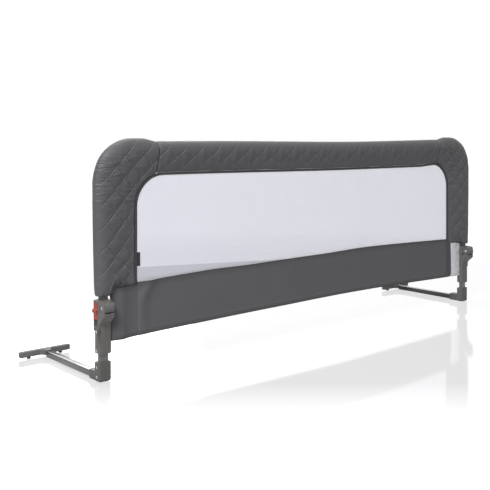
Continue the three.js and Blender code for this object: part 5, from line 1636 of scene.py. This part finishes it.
def on_band(x, share, face):
    y = band_depth(x, share) + face * band_thickness(x, share) / 2
    z = band_bottom(x) + share * (band_top(x) - band_bottom(x))
    return (x - HALF_SPACING, y, z), (0, face, 0)


def hem_line(from_top, start, end, face):
    line = []
    for x in np.arange(start, end, STITCH_STEP):
        share = (HEM - HEM_SLOPE) / (band_top(x) - band_bottom(x))
        line.append(on_band(x, 1 - share if from_top else share, face))
    return line


lines = []
for face in (-1, 1):
    lines.append(hem_line(True, WINDOW_EDGE + STITCH_STEP, BAND_RIGHT - STITCH_STEP, face))
    lines.append(hem_line(False, BAND_END + STITCH_STEP, BAND_RIGHT - 0.014, face))
    for x in (SEAM_X - BESIDE_SEAM, SEAM_X + BESIDE_SEAM):
        lines.append([on_band(x, share, face) for share in np.linspace(0.1, 0.9, SEAM_POINTS)])
placed(sewn("Band_stitches", lines, DARK_THREAD, **BAND_STITCH), "panel", "band")

# %% [markdown]
# The pale tape closes the gap between the band and the right post. It is a soft ribbon, so it
# hangs in creases. A small tab of dark cloth is sewn flat at the window's left edge. Both are
# sheets like the band, only smaller, and both are bare.

# %% Tape and tab
TAPE_FACE, TAPE_THICKNESS, TAPE_HEIGHT = 0.0042, 0.0007, 0.114
CREASE_DEPTH, BOW_DEPTH = 0.0016, 0.0015
TAPE_COLUMNS, TAPE_LEVELS = 22, 54
TAB_THICKNESS, TAB_LEAN = 0.0006, 0.0008 / 0.007


def tape_depth(x, share):
    crease = noise.noise(Vector((x * 45, share * 9, 2.0))) * CREASE_DEPTH
    bow = BOW_DEPTH * math.sin(math.pi * (x - BAND_RIGHT) / TAPE_WIDTH)
    behind_band = 0.0016 if x < BAND_RIGHT else 0.0
    return POST_Y - TAPE_FACE - bow - crease + behind_band


tape_columns = np.linspace(BAND_RIGHT - 0.003, SPACING - BAND_END + 0.001, TAPE_COLUMNS)
tape = sheet_piece(
    "End_tape", tape_columns, TAPE_LEVELS, band_bottom, lambda x: band_top(x) - 0.001,
    tape_depth, lambda x, share: TAPE_THICKNESS, TAPE,
)
placed(tape, "panel", "tape", "end_tape")

TAB_LOW, TAB_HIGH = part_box("side_tab")
tab_y = (TAB_LOW.y + TAB_HIGH.y) / 2
tab_left, tab_right = TAB_LOW.x + HALF_SPACING, TAB_HIGH.x + HALF_SPACING
tab = sheet_piece(
    "Side_tab", np.linspace(tab_left, tab_right, 7), 16, lambda x: TAB_LOW.z,
    lambda x: TAB_HIGH.z, lambda x, share: tab_y - TAB_LEAN * (x - tab_left),
    lambda x, share: TAB_THICKNESS, TAB_CLOTH,
)
placed(tab, "panel", "binding", "side_tab")
print("tape and tab faces:", len(tape.data.polygons), len(tab.data.polygons))

# %% [markdown]
# The frame tube is drawn by a rule: a line with one corner, the corner rounded to the bend's
# radius, and a circle swept along it. Geometry Nodes keep that rule, so one change of radius
# bends both tubes. Only the short neck above the hinge shows below the cover.

# %% Frame tubes
BEND_STEPS, TUBE_CORNERS = 24, 36


def tube_tree():
    tree = Growth("Bent_tube", {
        "Radius": "Float", "Bend": "Float", "Material": "Material",
    })
    curve = tree.node("GeometryNodeMeshToCurve", {}, {"Mesh": tree.given("Geometry")})
    inputs = {"Curve": curve, "Radius": tree.given("Bend"), "Count": BEND_STEPS}
    bent = tree.node("GeometryNodeFilletCurve", {"mode": "POLY"}, inputs)
    tree.ends_in(tree.swept(bent, tree.given("Radius"), TUBE_CORNERS))
    return tree


BENT_TUBE = tube_tree()
for side, word in SIDES:
    points = [(0, 0, TUBE_LOW), (0, 0, TOP_AXIS), (TUBE_JOINT, 0, TOP_AXIS)]
    points = [model_place(point, side) for point in points]
    mesh = plain_mesh(word + "_tube_line", points, [(0, 1), (1, 2)])
    values = {"Radius": TUBE_RADIUS, "Bend": BEND_RADIUS, "Material": STEEL}
    tube = BENT_TUBE.grow(word.capitalize() + "_frame_tube", mesh, values)
    turned_outwards(tube.data, 1e-6)
    placed(tube, "panel", "steel", word + "_corner_tube")

# %% [markdown]
# Leg and arm are drawn steel sections. The leg is a flat oval and the arm a rectangle with
# rounded corners. Both are made from a ring of points, repeated at the two ends, in the boxes
# that the model gives, with enough points to look round.

# %% Leg and arm
OVAL_POINTS, CORNER_STEPS = 48, 6
ARM_CORNER = 0.0022
END_ROUND, END_SMALLER = 0.0006, 0.03


def oval_ring(width, depth):
    centre = (width - depth) / 2
    ring = []
    for k in range(OVAL_POINTS):
        angle = 2 * math.pi * k / OVAL_POINTS
        shift = centre if math.cos(angle) >= 0 else -centre
        ring.append((shift + depth / 2 * math.cos(angle), depth / 2 * math.sin(angle)))
    return ring


def rounded_ring(width, height, radius):
    ring = []
    for quarter, (a, b) in enumerate(((1, 1), (-1, 1), (-1, -1), (1, -1))):
        for k in range(CORNER_STEPS + 1):
            angle = math.pi / 2 * (quarter + k / CORNER_STEPS)
            ring.append((a * (width / 2 - radius) + radius * math.cos(angle),
                         b * (height / 2 - radius) + radius * math.sin(angle)))
    return ring


def box_of(node):
    low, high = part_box(node)
    return low, high, (low + high) / 2, high - low


def leg_piece(word):
    low, high, middle, size = box_of(word + "_leg_tube")
    ring = oval_ring(size.x, size.y)
    rows = [[(middle.x + a, middle.y + b, z) for a, b in ring] for z in (low.z, high.z)]
    return skinned(word.capitalize() + "_leg", rows, LEG_STEEL)


def arm_piece(word):
    low, high, middle, size = box_of(word + "_arm_tube")
    ring = rounded_ring(size.x, size.z, ARM_CORNER)
    places = [(low.y, 1.0), (high.y - END_ROUND, 1.0), (high.y, 1.0 - END_SMALLER)]
    rows = [[(middle.x + a * share, y, middle.z + b * share) for a, b in ring]
            for y, share in places]
    return skinned(word.capitalize() + "_arm", rows, STEEL)


def with_sharp_edges(piece, degrees=32):
    piece.data.set_sharp_from_angle(angle=math.radians(degrees))
    return piece


for _, word in SIDES:
    placed(with_sharp_edges(leg_piece(word)), word + "_base", "steel", word + "_leg_tube")
    placed(with_sharp_edges(arm_piece(word)), word + "_base", "steel", word + "_arm_tube")
print("leg size:", [round(v, 4) for v in box_of("left_leg_tube")[3]])

# %% [markdown]
# The moulded pieces have the right shape in the model, but its edges are knife sharp and it is
# made of loose triangles. A copy is merged, its flat faces joined again, and every true edge gets
# a small round, as a mould gives. The light then runs along the edges, as on the real plastic.
#
# The shells' side edges at foot and top have a larger round, and so have the foot bars' ends.
# There the mesh is cut into narrow strips, and what lies outside the round is drawn in onto it.
# The slope below the hinge's nose is cut into strips in the same way and eased into one long soft
# curve.

# %% Large rounds
ARC_STEPS, NOSE_STEPS = 6, 16
SAME_PLACE = 1e-6
NOSE_LOW, NOSE_HIGH, NOSE_BLEND = 0.115, 0.137, 0.002
HOUSING_WALL = 0.00375
NOSE_ROOT = POST_Y - (LEG_HIGH.y - LEG_LOW.y) / 2 - HOUSING_WALL


def cut_at(work, place, normal):
    """Adds points where a plane goes through the mesh, and removes nothing."""
    parts = [*work.verts, *work.edges, *work.faces]
    bmesh.ops.bisect_plane(work, geom=parts, dist=SAME_PLACE, plane_co=place, plane_no=normal)


def round_ends(work, centre, half, ends):
    """Rounds the side edges of a shell at heights, each as (height, way inwards, radius)."""
    for height, way, radius in ends:
        for k in range(1, ARC_STEPS + 1):
            inset = radius * (1 - math.cos(math.pi / 2 * k / ARC_STEPS))
            cut_at(work, (0, 0, height + way * inset), (0, 0, 1))
            for side in (-1, 1):
                cut_at(work, (centre + side * (half - inset), 0, 0), (1, 0, 0))
        for vertex in work.verts:
            side = math.copysign(1, vertex.co.x - centre)
            across = side * (vertex.co.x - centre) - half + radius
            down = radius - way * (vertex.co.z - height)
            reach = math.hypot(across, down)
            if across > 0 and down > 0 and reach > radius:
                vertex.co.x = centre + side * (half - radius + across * radius / reach)
                vertex.co.z = height + way * (radius - down * radius / reach)


def ease_nose(work):
    """Turns the straight slope under the nose into a curve that leaves both ends smoothly."""
    blend_high = NOSE_HIGH + NOSE_BLEND
    for k in range(NOSE_STEPS + 1):
        cut_at(work, (0, 0, NOSE_LOW + (blend_high - NOSE_LOW) * k / NOSE_STEPS), (0, 0, 1))
    for vertex in work.verts:
        _, y, z = vertex.co
        if y < NOSE_ROOT and NOSE_LOW < z < blend_high:
            straight = min(1.0, (z - NOSE_LOW) / (NOSE_HIGH - NOSE_LOW))
            curved = eased((z - NOSE_LOW) / (blend_high - NOSE_LOW))
            vertex.co.y = NOSE_ROOT + (y - NOSE_ROOT) * curved / straight


# %% [markdown]
# A bevel on a mesh with many short edges leaves a few faces without any area. Dropping them can
# pinch an edge shut, so several distances are tried, and the first one that leaves the mesh
# closed is kept. The small round itself is put on every edge that turns by more than 34 degrees.

# %% Rounded copies of moulded pieces
SLIVER_WIDTHS = (2e-6, 5e-6, 8e-6, 1.2e-5, 2e-5)
TRUE_EDGE, ROUND_SEGMENTS, SHARP_AFTER_ROUND = 34, 3, 40


def without_slivers(mesh):
    """Drops the faces without area that a round leaves, at a distance that keeps it closed."""
    for distance in SLIVER_WIDTHS:
        work = bmesh.new()
        work.from_mesh(mesh)
        bmesh.ops.dissolve_degenerate(work, dist=distance, edges=work.edges)
        bmesh.ops.remove_doubles(work, verts=work.verts, dist=SAME_PLACE)
        cut = work.copy()
        bmesh.ops.triangulate(cut, faces=cut.faces)
        pairs = {frozenset(vertex.index for vertex in edge.verts) for edge in cut.edges}
        closed = all(edge.is_manifold for edge in cut.edges) and len(pairs) == len(cut.edges)
        cut.free()
        if closed:
            work.to_mesh(mesh)
        work.free()
        if closed:
            return True
    return False


def moulded_copy(node, name, radius, finish, ends):
    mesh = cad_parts[node].data.copy()
    work = bmesh.new()
    work.from_mesh(mesh)
    bmesh.ops.remove_doubles(work, verts=work.verts, dist=1e-5)
    bmesh.ops.dissolve_limit(work, angle_limit=math.radians(1), verts=work.verts, edges=work.edges)
    if ends:
        low, high, middle, size = box_of(node)
        centre = math.copysign(HALF_SPACING, middle.x)
        half = max(abs(low.x - centre), abs(high.x - centre))
        heights = {"foot": (low.z, 1), "top": (high.z, -1)}
        round_ends(work, centre, half, [(*heights[end], wide) for end, wide in ends])
    if "housing" in node:
        ease_nose(work)
    bmesh.ops.recalc_face_normals(work, faces=work.faces)
    work.to_mesh(mesh)
    work.free()
    while mesh.uv_layers:
        mesh.uv_layers.remove(mesh.uv_layers[0])
    mesh.name = name
    piece = in_scene(name, mesh, finish)
    bevel = piece.modifiers.new("Round", "BEVEL")
    bevel.width, bevel.segments = radius, ROUND_SEGMENTS
    bevel.limit_method, bevel.angle_limit = "ANGLE", math.radians(TRUE_EDGE)
    bevel.use_clamp_overlap = True
    with_modifiers_applied(piece)
    if not without_slivers(piece.data):
        print(name, "keeps its slivers")
    return with_sharp_edges(piece, SHARP_AFTER_ROUND)


# %% [markdown]
# Seven pieces on each side are moulded. The table gives each one its name, the radius of its small
# round, its finish, its slot and the body that it moves with.

# %% Moulded pieces
LARGE_ROUNDS = {
    "housing": (("foot", 0.006), ("top", 0.003)),
    "elbow": (("foot", 0.008), ("top", 0.004)),
    "foot": (("foot", 0.005), ("top", 0.005)),
}
MOULDED = {
    "housing_outer_shell": ("Outer_housing", 0.0008, PLASTIC, "plastic", "base"),
    "housing_inner_shell": ("Inner_housing", 0.0008, PLASTIC, "plastic", "base"),
    "elbow_outer_shell": ("Outer_elbow", 0.0010, ELBOW_PLASTIC, "plastic", "base"),
    "elbow_inner_shell": ("Inner_elbow", 0.0010, ELBOW_PLASTIC, "plastic", "base"),
    "foot_bar": ("Foot_bar", 0.0008, FOOT_PLASTIC, "plastic", "base"),
    "release_button": ("Release_button", 0.0006, RED_PLASTIC, "release", "latch"),
    "knuckle": ("Knuckle", 0.0007, PLASTIC, "plastic", "panel"),
}
for _, word in SIDES:
    for node, (name, radius, finish, slot, body) in MOULDED.items():
        full = word + "_" + node
        ends = LARGE_ROUNDS.get(node.split("_")[0], ())
        piece = moulded_copy(full, word.capitalize() + "_" + name.lower(), radius, finish, ends)
        placed(piece, body if body == "panel" else word + "_" + body, slot, full)
        if word == "left":
            print(piece.name, "faces:", len(piece.data.polygons))

# %% [markdown]
# Screws are all alike, so one head is turned on a lathe, a cross is cut into it, and Geometry
# Nodes set a copy at each place. The cross recess is cut with a boolean on the single head, which
# costs nothing, and the copies are realised into one mesh for each base.

# %% One screw
SHANK_RADIUS, SHANK_LENGTH = 0.0017, 0.008
HEAD_HEIGHT = 0.0016
CROSS_REACH, CROSS_WIDTH, CROSS_DEPTH = 0.0017, 0.0005, 0.0008


def lathed(name, profile, finish, sides=28):
    """A turned piece about Z from pairs of radius and height."""
    rows = [[(r * math.cos(2 * math.pi * k / sides), r * math.sin(2 * math.pi * k / sides), z)
             for k in range(sides)] for r, z in profile]
    return skinned(name, rows, finish)


def cross_cut(piece):
    work = bmesh.new()
    for turn in (0, 90):
        made = bmesh.ops.create_cube(work, size=1.0)
        size = Matrix.Diagonal((2 * CROSS_REACH, CROSS_WIDTH, 2 * CROSS_DEPTH, 1.0))
        turned = Matrix.Rotation(math.radians(turn), 4, "Z") @ size
        place = Matrix.Translation((0, 0, HEAD_HEIGHT)) @ turned
        bmesh.ops.transform(work, matrix=place, verts=made["verts"])
    mesh = bpy.data.meshes.new("Cross")
    work.to_mesh(mesh)
    work.free()
    cutter = added("Cross", mesh)
    cut = piece.modifiers.new("Cut", "BOOLEAN")
    cut.operation, cut.object, cut.solver, cut.use_self = "DIFFERENCE", cutter, "EXACT", True
    with_modifiers_applied(piece)
    bpy.data.objects.remove(cutter)
    return with_sharp_edges(piece, 30)


screw = lathed("Screw", [
    (SHANK_RADIUS, -SHANK_LENGTH), (SHANK_RADIUS, 0.0), (0.0031, 0.0), (0.0032, 0.0002),
    (0.0032, 0.0007), (0.0030, 0.0010), (0.0024, 0.0013), (0.0015, 0.0015), (0.0006, HEAD_HEIGHT),
], ZINC)
cross_cut(screw)
print("screw faces:", len(screw.data.polygons))

# %% [markdown]
# The tree for screws sets the one screw on each point, with its head along the point's direction.
# The heads look outwards, to the left on the left side and to the right on the right one. The
# places come from the model's own screws, which this mesh replaces.

# %% Screws as a tree
def screw_tree():
    tree = Growth("Screws", {"Screw": "Object", "Material": "Material"})
    points = tree.node("GeometryNodeMeshToPoints", {}, {"Mesh": tree.given("Geometry")})
    body = tree.node("GeometryNodeObjectInfo", {}, {"Object": tree.given("Screw")}, "Geometry")
    outwards = tree.turned("Z", tree.lie())
    tree.ends_in(tree.set_on(points, body, Rotation=outwards))
    return tree


SCREWS = screw_tree()
for side, word in SIDES:
    nodes = [f"{word}_{at}_screw" for at in
             ("elbow_upper", "elbow_lower", "housing_upper", "housing_lower")]
    places = []
    for node in nodes:
        low, high, middle, _ = box_of(node)
        seat = (high.x if side > 0 else low.x) - side * HEAD_HEIGHT
        places.append((seat, middle.y, middle.z))
    mesh = lying(plain_mesh(word + "_screw_places", places), [(side, 0, 0)] * len(places))
    piece = SCREWS.grow(word.capitalize() + "_screws", mesh, {"Screw": screw, "Material": ZINC})
    placed(piece, word + "_base", "bright", *nodes)
bpy.data.objects.remove(screw)

# %% [markdown]
# The pivot pin is turned too: a shaft across the housing with a domed head on each side. The
# rubber pegs under the foot bar are short turned plugs with a rounded lower edge.

# %% Pin and pegs
MIDDLE = 0.0004  # a lathe leaves a small flat at the centre
HEAD_DEPTH, PIN_RADIUS, PIN_SIDES = 0.0013, 0.0025, 32
DOMED_HEAD = ((MIDDLE, 0.0), (0.0018, 0.0001), (0.0031, 0.0005), (0.0039, 0.0011),
              (0.0040, HEAD_DEPTH))
PEG_HEAD, PEG_STEM = 0.0035, 0.0024


def laid_along_x(piece, centre, side):
    turn = Matrix.Rotation(math.radians(90 * side), 4, "Y")
    piece.data.transform(Matrix.Translation(centre) @ turn)
    turned_outwards(piece.data)


for side, word in SIDES:
    _, _, middle, size = box_of(word + "_pivot_pin")
    half = size.x / 2
    profile = [(r, -half + d) for r, d in DOMED_HEAD] + [(PIN_RADIUS, -half + HEAD_DEPTH)]
    profile += [(r, -z) for r, z in reversed(profile)]
    pin = lathed(word.capitalize() + "_pivot_pin", profile, ZINC, PIN_SIDES)
    laid_along_x(pin, middle, side)
    placed(with_sharp_edges(pin), word + "_base", "bright", word + "_pivot_pin")
    for end in ("outer", "inner"):
        low, _, middle, size = box_of(f"{word}_foot_pad_{end}")
        radius = size.x / 2
        profile = [(MIDDLE, 0.0), (radius - 0.0012, 0.0), (radius - 0.0004, 0.0004),
                   (radius, 0.0013), (radius, PEG_HEAD), (PEG_STEM, PEG_HEAD), (PEG_STEM, size.z)]
        peg = lathed(f"{word.capitalize()}_peg_{end}", profile, RUBBER)
        peg.data.transform(Matrix.Translation((middle.x, middle.y, low.z)))
        placed(with_sharp_edges(peg), word + "_base", "rubber", f"{word}_foot_pad_{end}")
print("pin length, mm:", round(box_of("left_pivot_pin")[3].x * 1000, 1))

# %% [markdown]
# A coil spring under each latch bolt pushes the release button back up. A coil follows a rule, so
# Geometry Nodes draw it: a spiral with a round wire, set on the point where the spring stands.
# When the button slides down, the spring is pressed together by the same travel, but here it is
# drawn at its length at rest.

# %% Latch springs
WIRE, WIRE_CORNERS = 0.0005, 10  # radius of the wire
COIL_TURNS, COIL_STEPS = 5.0, 28


def spring_tree():
    tree = Growth("Coil_spring", {
        "Turns": "Float", "Radius": "Float", "Height": "Float", "Wire": "Float",
        "Material": "Material",
    })
    spiral = tree.node("GeometryNodeCurveSpiral", {}, {
        "Resolution": COIL_STEPS, "Rotations": tree.given("Turns"),
        "Start Radius": tree.given("Radius"), "End Radius": tree.given("Radius"),
        "Height": tree.given("Height"),
    })
    coil = tree.swept(spiral, tree.given("Wire"), WIRE_CORNERS)
    points = tree.node("GeometryNodeMeshToPoints", {}, {"Mesh": tree.given("Geometry")})
    tree.ends_in(tree.set_on(points, coil))
    return tree


COIL = spring_tree()
for _, word in SIDES:
    low, _, middle, size = box_of(word + "_latch_spring")
    mesh = plain_mesh(word + "_spring_seat", [(middle.x, middle.y, low.z + WIRE)])
    spring = COIL.grow(word.capitalize() + "_latch_spring", mesh, {
        "Turns": COIL_TURNS, "Radius": size.y / 2 - WIRE, "Height": size.z - 2 * WIRE, "Wire": WIRE,
        "Material": ZINC,
    })
    turned_outwards(spring.data, 1e-6)
    placed(with_sharp_edges(spring, 50), word + "_base", "bright", word + "_latch_spring")
    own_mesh(spring)
print("spring height, mm:", round(size.z * 1000, 1))

# %% [markdown]
# What is left lies inside: the latch bolt, the joiner sleeves with their snap buttons, the rivets
# and the top tube. Their shapes in the model are right, so they stay, and only take the finish
# that such pieces have.

# %% Inner pieces
INNER = {"latch_bolt": PLASTIC, "knuckle_rivet": ZINC, "tube_joiner": STEEL, "snap_button": ZINC}
kept = {f"{word}_{node}": finish for _, word in SIDES for node, finish in INNER.items()}
kept["top_tube"] = STEEL
for node, finish in kept.items():
    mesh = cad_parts[node].data
    mesh.materials.clear()
    mesh.materials.append(finish)
print("inner pieces:", len(kept))

# %% [markdown]
# At the end the outer box of everything is measured, and the triangles of all shown pieces are
# counted.

# %% Finish
low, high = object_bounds()
shown = [piece for piece in bpy.data.objects if piece.type == "MESH" and not piece.hide_render]
triangles = sum(len(face.vertices) - 2 for piece in shown for face in piece.data.polygons)
print("triangles in all:", triangles)
